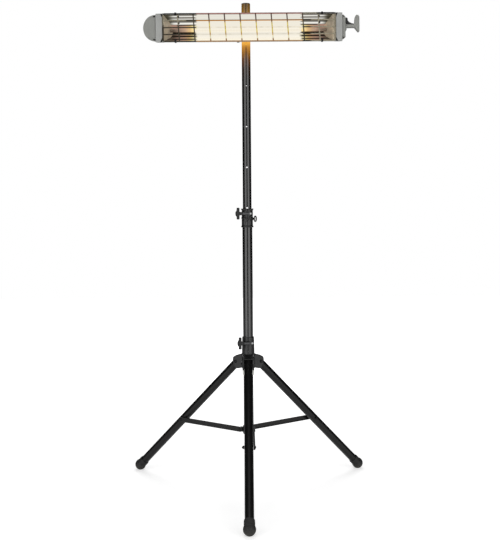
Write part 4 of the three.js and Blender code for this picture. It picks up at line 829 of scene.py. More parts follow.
def makeHub():
    inner = hub["bush"] + clearance
    bottom, shoulder, top = hub["bottom"], hub["shoulder"], hub["top"]
    sleeve = turned(rounded([
        (inner, bottom), (hub["shoulderRadius"], bottom, 1), (hub["shoulderRadius"], shoulder, 3),
        (hub["topRadius"], top - 3, 2), (hub["topRadius"] - 1, top, 1.2), (20.3, top, 0.8),
        (20.3, top - 6), (inner, top - 7.5)], 4), 96)
    y, z = hub["boltY"], hub["boltZ"]
    boss = rod((-15.5, y, z), (12, y, z), 6.5, None, 1, 40)
    web = softened(block(-12, 9, y, -inner - 0.5, z - 5, z + 5), 1, 2)
    reach = -hub["reach"]
    crown = shoulder - 14
    side = rounded([
        (-15, bottom + 4), (-15, shoulder + 2), (-hub["shoulderRadius"], shoulder, 6),
        (-43, shoulder - 5.5, 20), (reach + 2, crown, 5), (reach, crown - 9, 4),
        (reach, tripod["pivotHeight"] - 2, 20), (reach + 12, bottom - 1, 4), (reach + 24, bottom - 1)], 6)
    yoke = softened(prism(side, -hub["yokeWidth"] / 2, hub["yokeWidth"] / 2), 2.4, 4, 50)
    bosses = [rod((x * (hub["yokeWidth"] / 2 - 2), -tripod["pivotRadius"], tripod["pivotHeight"]),
                  (x * (hub["yokeWidth"] / 2 + 0.15), -tripod["pivotRadius"], tripod["pivotHeight"]), 10,
                  9.4, 0.1, 48)
              for x in (-1, 1)]
    yoke = fused(yoke, *bosses)
    half = hub["yokeWidth"] / 2 - hub["cheek"]
    root = -hub["shoulderRadius"] - 1.2
    under = shoulder - hub["web"]
    room = prism(rounded([(root, bottom - 10), (root, under - 3, 2), (-45, under - 7, 6),
                          (reach - 5, under - 14), (reach - 5, bottom - 10)], 4), -half, half)
    room = softened(room, 1.2, 3, 60)
    hole = rod((-40, -tripod["pivotRadius"], tripod["pivotHeight"]),
               (40, -tripod["pivotRadius"], tripod["pivotHeight"]), 4.3)
    body = fused(sleeve, boss, web, *spun(yoke, 3))
    bore = turned([(0, bottom - 5), (inner, bottom - 5), (inner, top - 7.5), (20.3, top - 7.5),
                   (20.3, top + 5), (0, top + 5)], 96)
    slot = block(-hub["slot"] / 2, hub["slot"] / 2, -60, -15, hub["slotBottom"], top + 5)
    keyhole = rod((0, -30, hub["slotBottom"]), (0, -15, hub["slotBottom"]), 3)
    boltBore = rod((-40, y, z), (30, y, z), bores["bolt"])
    cut(body, bore, slot, keyhole, boltBore, *spun(room, 3), *spun(hole, 3))
    columnPiece("slidingHub", body, mouldedNylon, "hub", ["hub"])
    bush = turned(rounded([(20.3, 458, 0.5), (24, 458, 1.2), (24, 483.7, 0.8), (22.2, 483.7), (22.2, 604),
                           (20.3, 604)], 3), 72)
    cut(bush, block(-hub["slot"] / 2, hub["slot"] / 2, -60, -10, hub["slotBottom"], 620),
        rod((0, -30, hub["slotBottom"]), (0, -15, hub["slotBottom"]), 3))
    columnPiece("hubBush", bush, whiteNylon, "hub", ["hub_bush"])


legDrop = tripod["pivotHeight"] - tripod["ballHeight"]
legSpread = tripod["footReach"] - tripod["pivotRadius"]
legAngle = math.atan2(legSpread, legDrop)
legLength = math.hypot(legSpread, legDrop)
outerPinRadius = tripod["pivotRadius"] + tripod["bracePin"] * math.sin(legAngle)
outerPinHeight = tripod["pivotHeight"] - tripod["bracePin"] * math.cos(legAngle)
braceLength = math.hypot(outerPinRadius - tripod["braceInner"], outerPinHeight - tripod["braceHeight"])
braceAngle = math.atan2(outerPinHeight - tripod["braceHeight"], outerPinRadius - tripod["braceInner"])
braceSide = tripod["legRadius"] + 0.6  # a brace starts this far beside its leg


def turnFor(number):
    return columnPlace @ Matrix.Rotation((number - 1) * 2 * math.pi / 3, 4, "Z")


def legPlace(number):  # from the pivot, with the leg along -Z
    pivot = Matrix.Translation((0, -tripod["pivotRadius"], tripod["pivotHeight"]))
    return turnFor(number) @ pivot @ Matrix.Rotation(-legAngle, 4, "X")


def bracePlace(number):  # from the inner pin, with the brace along -Y
    pivot = Matrix.Translation((0, -tripod["braceInner"], tripod["braceHeight"]))
    return turnFor(number) @ pivot @ Matrix.Rotation(-braceAngle, 4, "X")


def stadium(u0, u1, half, steps=16):
    return arcPoints(u1, 0, half, -90, 90, steps) + arcPoints(u0, 0, half, 90, 270, steps)


def makeLowerHub():
    inner = baseTube["radius"] + clearance
    floorZ = baseTube["bottom"] - 0.3
    cup = turned(rounded([(0, 219), (12, 219, 1), (13, 220.2, 1), (17, 220.2, 1), (18, 219, 1),
                          (21.5, 219, 2), (23.4, 222, 2), (23.4, 250, 1.5), (21.8, 252, 1), (inner, 252),
                          (inner, floorZ), (0, floorZ)], 4), 96)
    side = braceSide - 0.3
    outline = [(u, v + tripod["braceHeight"]) for u,
               v in stadium(-tripod["braceInner"], -12, tripod["braceTall"] / 2)]
    lug = softened(prism(outline, side - 7.5, side), 0.8, 2, 50)
    bore = turned([(0, floorZ), (inner, floorZ), (inner, 262), (0, 262)], 96)
    pin = (-tripod["braceInner"], tripod["braceHeight"])
    hole = rod((0, *pin), (30, *pin), bores["bolt"])
    body = cut(fused(cup, *spun(lug, 3)), bore, *spun(hole, 3))
    columnPiece("lowerHub", body, mouldedNylon, "base", ["lower_hub"])


def makeLeg(number):
    radius = tripod["legRadius"]
    end = -(legLength - 10)
    outer = rod((0, 0, radius), (0, 0, end), radius, None, 0, 72)
    crown = arcPoints(0, 0, radius, 0, 180, 32)
    crown += [(-radius - 1, -1), (-radius - 1, end - 1), (radius + 1, end - 1), (radius + 1, -1)]
    outer = combined(outer, [prism(crown, -radius - 2, radius + 2)], "INTERSECT")
    bore = rod((0, 0, -14), (0, 0, end - 5), radius - 1.6, None, 0, 72)
    hole = rod((-30, 0, 0), (30, 0, 0), bores["pivot"])
    tube = cut(outer, bore, hole)
    body = "leg_%d" % number
    makePiece("leg%d" % number, tube, tripodCoat, body, [body], legPlace(number))


def makeFoot(number):
    ball = tripod["ball"]
    cuffTop = 38
    neck = math.degrees(math.acos(19.4 / ball))
    profile = [(0, -ball)] + arcPoints(0, 0, ball, -88, neck, 20)
    profile += rounded([(18.6, ball * math.sin(math.radians(neck)) + 0.6, 0.5), (18.6, 14.2, 0.5),
                        (20, 15, 0.8), (20, cuffTop - 7, 3), (17.6, cuffTop, 0.6)], 3)
    profile += [(0, cuffTop)]
    foot = turned(profile, 72)
    slots = spun(softened(block(-4, 4, 18.2, 22, 11.3, 13.8), 0.5, 2), 8, 22.5)
    socket = rod((0, 0, cuffTop + 5), (0, 0, 9.7), tripod["legRadius"] + 0.25, None, 0, 72)
    cut(foot, socket, *slots)
    place = legPlace(number) @ Matrix.Translation((0, 0, -legLength))
    placed(foot, place)
    cut(foot, block(-700, 700, -700, 700, -60, 0))  # worn flat where it stands on the floor
    makePiece("foot%d" % number, foot, footRubber, "leg_%d" % number,
              ["foot_%d" % number])


def domeHead(start, end, radius):  # a domed screw head along a line
    length = (Vector(end) - Vector(start)).length
    profile = [(0, 0), (radius, 0), (radius, 0.6)]
    profile += [(radius * math.cos(a), 0.6 + (length - 0.6) * math.sin(a)) for a in (0.4, 0.75, 1.1, 1.4)]
    return placed(turned(profile + [(0, length)], 40), standing(start, end))


def makeLegFasteners(number):
    half = hub["yokeWidth"] / 2 + 0.3
    shank = rod((-half - 2, 0, 0), (half + 2, 0, 0), 4)
    head = domeHead((half, 0, 0), (half + 3.5, 0, 0), 7)
    nut = hexHead((-half, 0, 0), (-half - 4.6, 0, 0), 7)
    end = rod((-half - 4, 0, 0), (-half - 5, 0, 0), 4, 3.4, 0, 32)
    makePiece("legBolt%d" % number, gathered(shank, head, nut, end), blackSteel, "hub",
              ["leg_bolt_%d" % number], legPlace(number))
    start = -tripod["legRadius"] - 0.3
    down = Matrix.Translation((0, 0, -tripod["bracePin"]))
    nut = hexHead((start, 0, 0), (start - 4.5, 0, 0), 6.5)
    cap = placed(turned([(0, 0), (5, 0), (4.8, 1.4), (3.9, 3.2), (2.4, 4.6), (1.2, 5.2), (0, 5.5)], 40),
                 standing((start - 4, 0, 0), (start - 9.5, 0, 0)))
    makePiece("domeNut%d" % number, gathered(nut, cap), blackSteel, "leg_%d" % number,
              ["dome_nut_%d" % number], legPlace(number) @ down)


def makeBrace(number):
    half = tripod["braceTall"] / 2
    outside = braceSide + tripod["braceThick"]
    reach = -braceLength
    strap = softened(prism(stadium(reach, 0, half), braceSide, outside), 1.1, 3, 50)
    start = half + 4
    pocket = prism(rounded([(reach + start, -half + 1.8, 3), (-start, -half + 1.8, 3),
                            (-start, half - 1.8, 3), (reach + start, half - 1.8, 3)], 4), braceSide - 1,
                            outside - 1.8)
    groove = prism(stadium(reach + start, -start, 3.2, 10), outside - 0.8, outside + 1)
    groove = softened(groove, 0.4, 2)
    holes = [rod((0, y, 0), (40, y, 0), bores["bolt"]) for y in (0, reach)]
    strap = cut(strap, pocket, groove, *holes)
    body = "brace_%d" % number
    place = bracePlace(number)
    makePiece("brace%d" % number, strap, tripodCoat, body, [body], place)
    face = outside + 0.3
    shank = rod((braceSide, 0, 0), (face + 1, 0, 0), 3)
    head = domeHead((face, 0, 0), (face + 3, 0, 0), 6)
    makePiece("braceBolt%d" % number, gathered(shank, head), blackSteel, body,
              ["brace_bolt_%d" % number], place @ Matrix.Translation((0, reach, 0)))
    lug = braceSide - 0.3 - 7.5 - 0.3
    shank = rod((lug - 1, 0, 0), (face + 1, 0, 0), 3)
    heads = [domeHead((face, 0, 0), (face + 2.5, 0, 0), 5.5), domeHead((lug, 0, 0), (lug - 2.2, 0, 0), 5)]
    makePiece("bracePin%d" % number, gathered(shank, *heads), blackSteel, body,
              ["brace_pin_%d" % number], place)


# The lamp head is drawn in its own frame: the tilt axis is the X axis.
head = dict(left=-322.3, right=346.7, back=-22.3, depth=90, frontHalf=56, backHalf=39, lip=6, sheet=1.6)
reflector = dict(front=-109.3, back=-33.3, half=50, vertex=9, flutes=7, sheet=1, left=-317.5,
                 right=335.7, slope=30)
headFront = head["back"] - head["depth"]


def strip(path, thickness):  # a strip of sheet to the right of an open path
    points = [Vector(point) for point in path]
    inner = []
    for i, point in enumerate(points):
        first = (point - points[i - 1]).normalized() if i else (points[1] - point).normalized()
        second = (points[i + 1] - point).normalized() if i + 1 < len(points) else first
        middle = (first + second).normalized()
        inner.append(point + Vector((middle.y, -middle.x)) * thickness / middle.dot(first))
    return [tuple(p) for p in points] + [tuple(p) for p in reversed(inner)]


def screw(point, normal, radius=3.2):  # pan head with a cross recess
    out = Vector(normal).normalized()
    point = Vector(point)
    top = domeHead(point - out * 0.3, point + out * 1.9, radius)
    place = standing(point, point + out)
    bars = [placed(block(-a, a, -b, b, 0.9, 3), place) for a,
            b in ((radius * 0.6, 0.45), (0.45, radius * 0.6))]
    return cut(top, fused(bars[0], bars[1]))


def makeHousing():
    back, backHalf, frontHalf = head["back"], head["backHalf"], head["frontHalf"]
    slope = (frontHalf - backHalf) / head["depth"]

    def roof(share):  # a point on the top sheet, by its share of the depth
        y = headFront + head["depth"] * share
        return y, frontHalf - slope * head["depth"] * share

    upper = [(headFront, frontHalf - head["lip"]), (headFront, frontHalf - 1.2),
             (headFront + 1.2, frontHalf)]
    for share in (0.3, 0.72):  # pressed stiffening beads
        for step, sink in ((-0.035, 0), (-0.015, 1.2), (0.015, 1.2), (0.035, 0)):
            y, z = roof(share + step)
            upper.append((y, z - sink))
    upper += [(back - 1.6, backHalf + 0.2), (back, backHalf - 1.6)]
    rear = []
    for z in (21, -21):
        for step, sink in ((3, 0), (1.6, 1.2), (-1.6, 1.2), (-3, 0)):
            rear.append((back - sink, z + step))
    lower = [(y, -z) for y, z in reversed(upper)]
    shell = prism(strip(upper + rear + lower, head["sheet"]), head["left"], head["right"])
    slots = []
    for i in range(7):  # cooling slots behind the terminals
        x = 262 + i * 9
        slots.append(prism(rounded([(x, -13, 1.4), (x + 3, -13, 1.4), (x + 3, 13, 1.4), (x, 13, 1.4)], 4),
                           back - 6, back + 3, "y"))
    cut(shell, *slots)
    headPiece("housing", shell, greyEnamel, ["housing"], crease=20)


def troughPath():  # flutes along a parabola, each one slightly hollow
    count = reflector["flutes"]
    span = reflector["half"] - reflector["vertex"]
    knots = [reflector["vertex"] + span * i / count for i in range(count, -1, -1)]
    knots += [-z for z in reversed(knots)]
    deep = reflector["front"] - reflector["back"]

    def onCurve(z):
        return Vector((reflector["back"] + deep * (max(abs(z),
                                                       reflector["vertex"]) / reflector["half"]) ** 2, z))

    path = []
    for first, second in zip(knots, knots[1:]):
        start, end = onCurve(first), onCurve(second)
        across = (end - start).normalized()
        normal = Vector((across.y, -across.x))
        for k in range(4):
            share = k / 4
            path.append(start.lerp(end, share) - normal * 0.9 * 4 * share * (1 - share))
    path.append(onCurve(-reflector["half"]))
    return path


def makeReflector():
    path = [(p.x, p.y) for p in reversed(troughPath())]
    trough = prism(strip(path, reflector["sheet"]), head["left"] + 0.3, head["right"] - 0.3)
    headPiece("reflector", trough, reflectorFinish(), ["reflector"], crease=12)
    finish = endPlateFinish()
    for name, side in (("Left", -1), ("Right", 1)):
        edge = reflector[name.lower()]
        wall = head[name.lower()] - side * 0.6
        rear = reflector["back"] - 2
        front = reflector["front"]
        lean = edge - side * reflector["slope"]
        plan = rounded([(wall, front), (edge, front, 1), (lean, rear), (lean + side * 1.5, rear),
                        (edge + side * 0.9, front + 1, 0.5), (wall, front + 1)], 3)
        plate = prism(plan, -reflector["half"], reflector["half"], "z")
        room = prism([(p.x, p.y - math.copysign(0.9, p.y)) for p in troughPath()], -500, 500)
        plate = combined(plate, [room], "INTERSECT")
        cut(plate, rod((-500, lamp["y"], 0), (500, lamp["y"], 0), lamp["radius"] + 1.5, None, 0, 40))
        node = "reflector_end_" + name.lower()
        headPiece("reflectorEnd" + name, plate, finish, [node])


def makeLamp():
    y, radius = lamp["y"], lamp["radius"]
    tube = rod((lamp["left"], y, 0), (lamp["right"], y, 0), radius, None, 2, 32)
    headPiece("lampTube", tube, lampFinish(), ["lamp_tube"])
    for name, side in (("Left", -1), ("Right", 1)):
        end = lamp[name.lower()]
        near = end - side * 8
        far = near + side * 24
        low, high = sorted((near, far))
        body = softened(block(low, high, y - 10, y + 10, -11, 11), 1.6, 3)
        bore = rod((near - side * 5, y, 0), (end + side * 2, y, 0), radius + 0.6)
        grooves = [block(low - 1 + side, low + 2 + side, y - 12, y + 12, z, z + 3) for z in (9.5, -12.5)]
        cut(body, bore, *grooves)
        headPiece("lampHolder" + name, body, steatite, ["lamp_holder_" + name.lower()])


guard = dict(radius=2.4, y=-115.2, pitch=60.1, wires=10, first=-259.4, slant=8, row=26.5,
             clips=(-271, 293))


def makeGuard():
    reach = head["frontHalf"] - 3
    left, right, y = head["left"] + 4, head["right"] - 4, guard["y"]
    radius = guard["radius"]
    wires = [wire([(left, y, z), (right, y, z)], radius, 16) for z in (-guard["row"], 0, guard["row"])]
    rim = rounded([(left, -reach, 6), (right, -reach, 6), (right, reach, 6), (left, reach, 6)], 6)
    wires.append(wire([(x, y, z) for x, z in rim], radius, 16, True))
    longPaintedGlow = [(-0.5, "#a8845c"), (-0.46, "#e2dccb"), (-0.24, "#e8e2d2"), (-0.2, "#efe7d4"),
                 (0.2, "#efe7d4"), (0.24, "#cc8a30"), (0.3, "#a46a1e"), (0.4, "#b08078"),
                 (0.5, "#b08078")]
    headPiece("guardGrille", gathered(*wires), guardFinish("heatTintedLongWirePaintedGlow", longPaintedGlow),
              ["guard_grille"])
    bars = []
    half = guard["slant"] / 2
    for i in range(guard["wires"]):
        x = guard["first"] + i * guard["pitch"]
        bars.append(wire([(x + half, y - 0.4, -reach), (x - half, y - 0.4, reach)], radius, 16))
    crossPaintedGlow = [(-0.5, "#7d5030"), (-0.45, "#a07840"), (-0.41, "#e6e3c6"), (-0.32, "#e4dcae"),
                  (-0.29, "#c08a30"), (-0.25, "#a8741c"), (-0.2, "#cdb055"), (-0.1, "#dcd070"),
                  (-0.03, "#c4a438"), (0.02, "#b8942c"), (0.07, "#d8cc68"), (0.16, "#cdb464"),
                  (0.2, "#b08850"), (0.235, "#8a6a4c"), (0.29, "#6a5645"), (0.32, "#5a3828"),
                  (0.5, "#4e3024")]
    headPiece("guardCrossWires", gathered(*bars), guardFinish("heatTintedCrossWirePaintedGlow", crossPaintedGlow))
    ties = []
    for x in (guard["first"], guard["first"] + (guard["wires"] - 1) * guard["pitch"]):
        for z in (41, 16.5):
            middle = x + 2.5 - guard["slant"] / 2 * z / reach
            ties.append(rod((middle, y - 0.4, z - 3.2), (middle, y - 0.4, z + 3.2), 3.4, None, 0.8, 20))
    headPiece("guardTies", gathered(*ties), blackSteel)
    for place, up in (("Top", 1), ("Bottom", -1)):
        for side, x in zip(("Left", "Right"), guard["clips"]):
            rimZ = head["frontHalf"] + 0.2
            inner = y - radius - 0.6
            outline = [(inner - 1.5, 45), (inner, 45), (inner, rimZ), (inner + 15, rimZ),
                       (inner + 15, rimZ + 0.8), (inner - 1.5, rimZ + 0.8)]
            outline = rounded([(v, w * up, 0.3) for v, w in outline], 3)
            clip = prism(outline, x - 3.5, x + 3.5)
            grip = rod((x, inner - 2.2, up * 49), (x, inner + 1, up * 49), 3, None, 0.6, 32)
            node = "guard_clip_%s_%s" % (place.lower(), side.lower())
            headPiece("guardClip" + place + side, gathered(softened(clip, 0.25, 2), grip), blackSteel,
                      [node])


flange = dict(half=55.8, front=-113.5, back=-20.6, wall=3, left=25.3, right=24.3, corner=7.5,
              cornerFrom=36)
dome = dict(reach=48, half=51.2, front=-108, back=-26, wall=2.5, taper=0.73, panel=39.8)
cap = dict(reach=12.6, half=47.5, chamfer=8)
flangeLeft = head["left"] - 0.3 - flange["left"]
flangeRight = head["right"] + 0.3 + flange["right"]
capRight = flangeRight + 0.3 + cap["reach"]


def frameOutline(shrink):  # section of an end frame
    slope = (flange["half"] - head["backHalf"] - 1) / (flange["back"] - flange["front"])
    front, back = flange["front"] + shrink, flange["back"] - shrink
    frontHalf = flange["half"] - shrink - slope * shrink
    backHalf = head["backHalf"] + 1 - shrink + slope * shrink
    corner = max(3.5 - shrink, 0.8)
    return rounded([(front, -frontHalf, corner), (back, -backHalf, corner), (back, backHalf, corner),
                    (front, frontHalf, corner)], 5)


def makeFlanges():
    for name, x0, x1, side in (("Left", flangeLeft, flangeLeft + flange["left"], 1),
                               ("Right", flangeRight - flange["right"], flangeRight, -1)):
        frameRing = softened(prism(frameOutline(0), x0, x1), 0.8, 3, 50)
        hollow = prism(frameOutline(flange["wall"]), x0 - 2, x1 + 2)
        inner = x1 if side > 0 else x0
        wedges = []
        for up in (-1, 1):  # the front's inner corners are cut off at a slant
            corner = [(inner + side, up * flange["cornerFrom"]), (inner + side, up * 70),
                      (inner - side * flange["corner"], up * 70),
                      (inner - side * flange["corner"], up * 54)]
            wedges.append(prism(corner, flange["front"] - 5, flange["front"] + flange["wall"] + 0.5, "y"))
        cut(frameRing, hollow, *wedges)
        headPiece("flange" + name, frameRing, paleEnamel, [name.lower() + "_flange"])
        shadePieces = []
        for up in (-1, 1):  # painted shade: black pieces where the cut corners show dark
            corner = [(inner - side * 0.2, up * 30), (inner - side * 0.2, up * 54.5),
                      (inner - side * (flange["corner"] + 1), up * 54.5),
                      (inner - side * (flange["corner"] + 1), up * 50)]
            shadePieces.append(prism(corner, flange["front"] + 3.2, flange["front"] + 4.6, "y"))
        headPiece("cornerShade" + name, gathered(*shadePieces), paintedShadeBlack)
        screws = []
        x = (x0 + x1) / 2
        screws += [screw((x, flange["back"], z), (0, 1, 0)) for z in (-26, 26)]
        headPiece("frameScrews" + name, gathered(*screws), zincSteel)


def tapered(shape):  # the end caps get lower towards the back
    for vertex in shape.data.vertices:
        share = (vertex.co.y - dome["front"]) / (dome["back"] - dome["front"])
        vertex.co.z *= 1 + share * (dome["taper"] - 1)
    return shape


def halfOval(middle, reach, half, steps=40):  # the left half of an oval, as (x, z) points
    turns = [math.radians(90 + 180 * k / steps) for k in range(steps + 1)]
    return [(middle + reach * math.cos(a), half * math.sin(a)) for a in turns]


def capShell(outline, edge, shift):  # an end cap and the room inside it
    front, back, wall = dome["front"], dome["back"], dome["wall"]
    body = softened(prism(outline(0), front, back, "y"), edge, 4, 50)
    room = prism(outline(wall), front + wall, back - wall, "y")
    return body, placed(room, Matrix.Translation((shift, 0, 0)))


def makeDome():
    root = flangeLeft - clearance

    def outline(shrink):
        half = dome["half"] - shrink
        return [(root, -half), (root, half)] + halfOval(root - 2, dome["reach"] - 2 - shrink, half)

    body, room = capShell(outline, 2.2, 1)
    steps, shadePieces = [], []
    # The corners above and below the panel are set back, with a black piece at the frame as painted shade.
    for up in (-1, 1):
        low, high = sorted((up * 41.5, up * 60))
        steps.append(block(root - 24, root + 1, dome["front"] - 3, dome["front"] + 2, low, high))
        shadePiece = prism([(root - 0.2, up * 42), (root - 0.2, up * 48.4), (root - 7, up * 47.4),
                      (root - 11, up * 42)], dome["front"] + 0.7, dome["front"] + 1.9, "y")
        shadePieces.append(shadePiece)
    cut(body, room, *steps)
    headPiece("domeCornerShade", tapered(gathered(*shadePieces)), paintedShadeBlack)
    bow = halfOval(root - 2, dome["reach"] - 6, dome["half"] - 4.5)
    bow = [(x, max(min(z, dome["panel"]), -dome["panel"])) for x, z in bow]
    bow = list(dict.fromkeys([(root - 0.8, dome["panel"])] + bow + [(root - 0.8, -dome["panel"])]))
    panels = [prism(bow, dome["front"] - 0.9, dome["front"] + 1, "y"),
              prism(bow, dome["back"] - 1, dome["back"] + 0.9, "y")]
    panels = [softened(panel, 0.5, 3, 50) for panel in panels]
    fused(body, *panels)
    headPiece("domeLeft", tapered(body), greyEnamel, ["left_dome"])


def makeRightCap():
    root = flangeRight + clearance

    def outline(shrink):
        half, chamfer = cap["half"] - shrink, cap["chamfer"]
        right = capRight - shrink
        return rounded([(root, -half), (capRight - chamfer, -half, 3), (right, -cap["half"] + chamfer, 3),
                        (right, cap["half"] - chamfer, 3), (capRight - chamfer, half, 3), (root, half)],
                        4)

    body, room = capShell(outline, 1.8, -1)
    notches = []
    for up in (-1, 1):  # deep corners, as on the dome
        corner = [(root - 1, up * 39.5), (capRight - 2.6, up * 39), (capRight - 9, up * 45.3),
                  (root - 1, up * 45.3)]
        notches.append(prism(corner, dome["front"] - 3, dome["front"] + 6, "y"))
    cut(body, room, *notches)
    headPiece("capRight", tapered(body), greyEnamel, ["right_cap"])


handle = dict(y=-92, depth=24, neckLow=-0.8, neckHigh=10.3, length=34.4, thickness=19.5, up=46.6,
              down=17.2)


def makeHandle():
    root = capRight + clearance
    start = root + handle["length"]
    end = start + handle["thickness"]
    low, high, up, down = handle["neckLow"], handle["neckHigh"], handle["up"], handle["down"]
    outline = rounded([
        (root, low), (start + 1, low, 5), (end - 5.5, -down, 2), (end, -down, 2.5), (end, up - 7, 8),
        (end - 4, up, 3), (start + 6, up, 3), (start + 2.5, up - 7, 8), (start, high + 5, 8),
        (start - 1, high, 3), (root, high)], 6)
    front, back = handle["y"] - handle["depth"] / 2, handle["y"] + handle["depth"] / 2
    lever = softened(prism(outline, front, back, "y"), 6.2, 5, 40)
    plate = softened(block(root, root + 3, front - 5, back + 5, low - 12, high), 1, 2)
    headPiece("handle", fused(lever, plate), greyEnamel, ["handle"])
    bolts = [screw((root + 3, y, low - 7), (1, 0, 0), 2.4) for y in (front + 2, back - 2)]
    headPiece("handleScrews", gathered(*bolts), zincSteel)


def makeCableInlet():
    root = capRight + clearance
    low = handle["neckHigh"] + 0.3
    outline = rounded([
        (root, low), (root + 33, low), (root + 33, low + 2.6, 1), (root + 17, low + 8.5, 8),
        (root + 9, low + 16, 5), (root + 9.5, low + 21, 3), (root + 7, low + 27, 4), (root, low + 27)], 5)
    boot = softened(prism(outline, handle["y"] - 7, handle["y"] + 7, "y"), 2, 4, 50)
    rings = [block(root + x, root + x + 1.3, handle["y"] - 9, handle["y"] + 9, low + 5.2 - x * 0.1,
                   low + 30)
             for x in (13, 16.5, 20, 23.5)]
    cut(boot, *rings)
    headPiece("cableInlet", boot, mouldedNylon, ["cable_inlet"])


def makeTerminalBlock():
    x = flangeRight - flange["right"] + 4
    body = softened(block(x, x + 14, -92, -56, -11, 11), 1, 2)
    ways = [rod((x - 2, y, 0), (x + 16, y, 0), 2.4, None, 0, 24) for y in (-84, -74, -64)]
    cut(body, *ways)
    headPiece("terminalBlock", body, steatite, ["terminal_block"])


def makeTiltBracket():
    back = head["back"] + 0.3
    plate = prism(rounded([(-45, -28, 6), (45, -28, 6), (45, 28, 6), (-45, 28, 6)], 6), back, back + 3,
                  "y")
    cheeks = []
    for x in (-9.3, 5.3):
        outline = [(back + 1, -16), (back + 1, 16)] + arcPoints(0, 0, 11, 90, -90, 20)
        cheeks.append(softened(prism(outline, x, x + 4), 0.7, 2, 50))
    body = fused(softened(plate, 0.7, 2, 50), *cheeks)
    cut(body, rod((-40, 0, 0), (40, 0, 0), bores["pivot"]), block(-60, 60, back - 40, back, -60, 60))
    headPiece("tiltBracket", body, powderCoat, ["tilt_bracket"])
    bolts = [hexHead((x, back + 3, z), (x, back + 6.4, z), 5, 7) for x in (-34, 34) for z in (-18, 18)]
    headPiece("bracketScrews", gathered(*bolts), zincSteel)


def makePoleClamp():
    inner = pole["radius"] + clearance
    sleeve = turned(rounded([(inner, -22), (22.5, -22, 1), (24, -19, 2), (24, 19, 2), (22.5, 22, 1),
                             (inner, 22)], 4), 96)
    tiltY = headPlace.translation.y - columnPlace.translation.y
    lug = softened(prism(stadium(tiltY, -inner - 2, 11), -5, 5), 0.8, 2, 50)
    boss = softened(block(-15, 15, inner, 38, -10, 10), 2, 3)
    body = fused(sleeve, lug, boss)
    cut(body, rod((0, 0, -50), (0, 0, 50), inner, None, 0, 96),
        rod((-40, 30, 0), (40, 30, 0), bores["bolt"]),
        rod((-40, tiltY, 0), (40, tiltY, 0), bores["pivot"]), block(-2, 2, 10, 60, -50, 50))
    place = columnPlace @ Matrix.Translation((0, 0, headPlace.translation.z))
    makePiece("poleClamp", body, mouldedNylon, "mast", ["pole_clamp"], place)


makePole()
makeBaseTube()
makeClamps()
makeUpperCollar()
makeSafetyPin()
makeHub()
makeLowerHub()
print("column and hub made")
for number in (1, 2, 3):
    makeLeg(number)
    makeFoot(number)
    makeLegFasteners(number)
    makeBrace(number)
print("tripod made")
makeHousing()
makeReflector()
makeLamp()
makeGuard()
makeFlanges()
makeDome()
makeRightCap()
makeHandle()
makeCableInlet()
makeTerminalBlock()
makeTiltBracket()
makePoleClamp()
print("lamp head made")

slider = frame["nodes"]["pole_slider"].data  # the one CAD piece that keeps its own shape
slider.materials.clear()
slider.materials.append(whiteNylon)

studio = dict(world=0.27, mirrored=0.004, floorSize=16, strip=(2.9, 2.8), stripDistance=3.3,
              stripAngle=38, stripPower=43)


def seenByCamera(tree):  # 1 for what the camera sees straight or through glass
    path = addNode(tree, "LightPath").outputs
    return maths(tree, "MAXIMUM", path["Is Camera Ray"], path["Is Transmission Ray"])


def makeFloor():
    half = studio["floorSize"] / 2
    floor = meshShape([(-half, -half, 0), (half, -half, 0), (half, half, 0), (-half, half, 0)],
                      [[0, 1, 2, 3]])
    floor.name = "floor"
    finish, tree, shader, place = startFinish("paleStudioFloor")
    shader.inputs["Base Color"].default_value = colour("#e6e6e6")
    shader.inputs["Roughness"].default_value = 0.9
    shader.inputs["Specular IOR Level"].default_value = 0.0
    away = addNode(tree, "VectorMath", {0: place}, operation="LENGTH").outputs["Value"]
    white = mapped(tree, away, 0.8, 2.4, 0.5, 1.0)
    lift = maths(tree, "MULTIPLY", seenByCamera(tree), white)
    shader.inputs["Emission Color"].default_value = (1, 1, 1, 1)
    tree.links.new(lift, shader.inputs["Emission Strength"])
    floor.data.materials.append(finish)


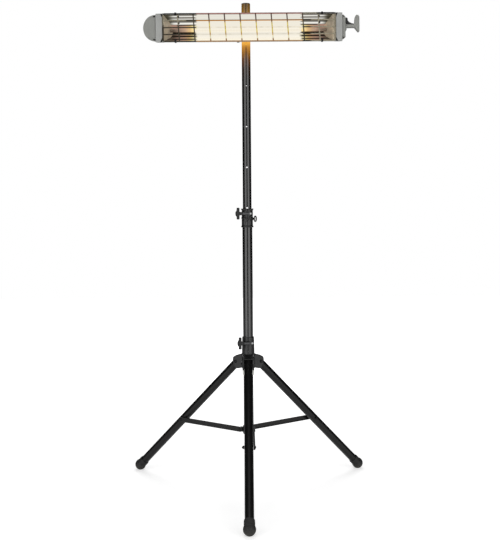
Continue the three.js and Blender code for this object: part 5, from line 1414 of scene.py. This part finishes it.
def makeWorld():  # white to the camera, dim in mirrors and soft on the object
    world = bpy.data.worlds.new("studio")
    scene.world = world
    world.use_nodes = True
    tree = world.node_tree
    tree.nodes.clear()
    glossy = addNode(tree, "LightPath").outputs["Is Glossy Ray"]
    strength = mapped(tree, glossy, 0.0, 1.0, studio["world"], studio["mirrored"])
    strength = maths(tree, "MAXIMUM", strength, seenByCamera(tree))
    sky = addNode(tree, "Background", {"Color": (1, 1, 1, 1), "Strength": strength})
    addNode(tree, "OutputWorld", {"Surface": sky.outputs["Background"]})


def addLight(name, place, target, size, power):
    data = bpy.data.lights.new(name, "AREA")
    data.shape = "RECTANGLE"
    data.size, data.size_y = size
    data.energy = power
    light = bpy.data.objects.new(name, data)
    light.location = place
    light.rotation_mode = "QUATERNION"
    light.rotation_quaternion = (Vector(target) - Vector(place)).to_track_quat("-Z", "Y")
    scene.collection.objects.link(light)
    light.visible_camera = False


def makeLights():
    far = studio["stripDistance"]
    for name, side in (("stripLeft", -1), ("stripRight", 1)):
        angle = math.radians(studio["stripAngle"])
        place = (side * far * math.sin(angle), columnPlace.translation.y / 1000 - far * math.cos(angle),
                 1.2)
        addLight(name, place, (0, columnPlace.translation.y / 1000, 1.1), studio["strip"],
                 studio["stripPower"])
    addLight("overhead", (0, -1.9, 3.4), (0, 0.14, 1.0), (2.6, 1.6), 12)
    addLight("behind", (0, 3.2, 3.7), (0, 0.14, 1.4), (3.0, 2.0), 80)


# The camera stands where the photograph was taken, slightly above the middle of the object.
camera = dict(x=0.0, fromColumn=3.65805, z=1.12363, focal=907.39, pitch=-0.0135, roll=-0.0072,
              centreX=247.3, centreY=222.0, width=500, height=540, sensor=36.0)


def makeCamera():
    data = bpy.data.cameras.new("camera")
    longSide = camera["height"]
    data.sensor_width = camera["sensor"]
    data.lens = camera["focal"] / longSide * camera["sensor"]
    data.shift_x = (camera["width"] / 2 - camera["centreX"]) / longSide
    data.shift_y = (camera["centreY"] - camera["height"] / 2) / longSide
    eye = bpy.data.objects.new("camera", data)
    stand = Matrix.Translation((camera["x"], columnPlace.translation.y / 1000 - camera["fromColumn"],
                                camera["z"]))
    eye.matrix_world = (stand @ Matrix.Rotation(math.pi / 2 + camera["pitch"], 4, "X")
                        @ Matrix.Rotation(camera["roll"], 4, "Z"))
    scene.collection.objects.link(eye)
    scene.camera = eye


makeFloor()
makeWorld()
makeLights()
makeCamera()
scene.view_settings.view_transform = "Standard"
print("studio made")
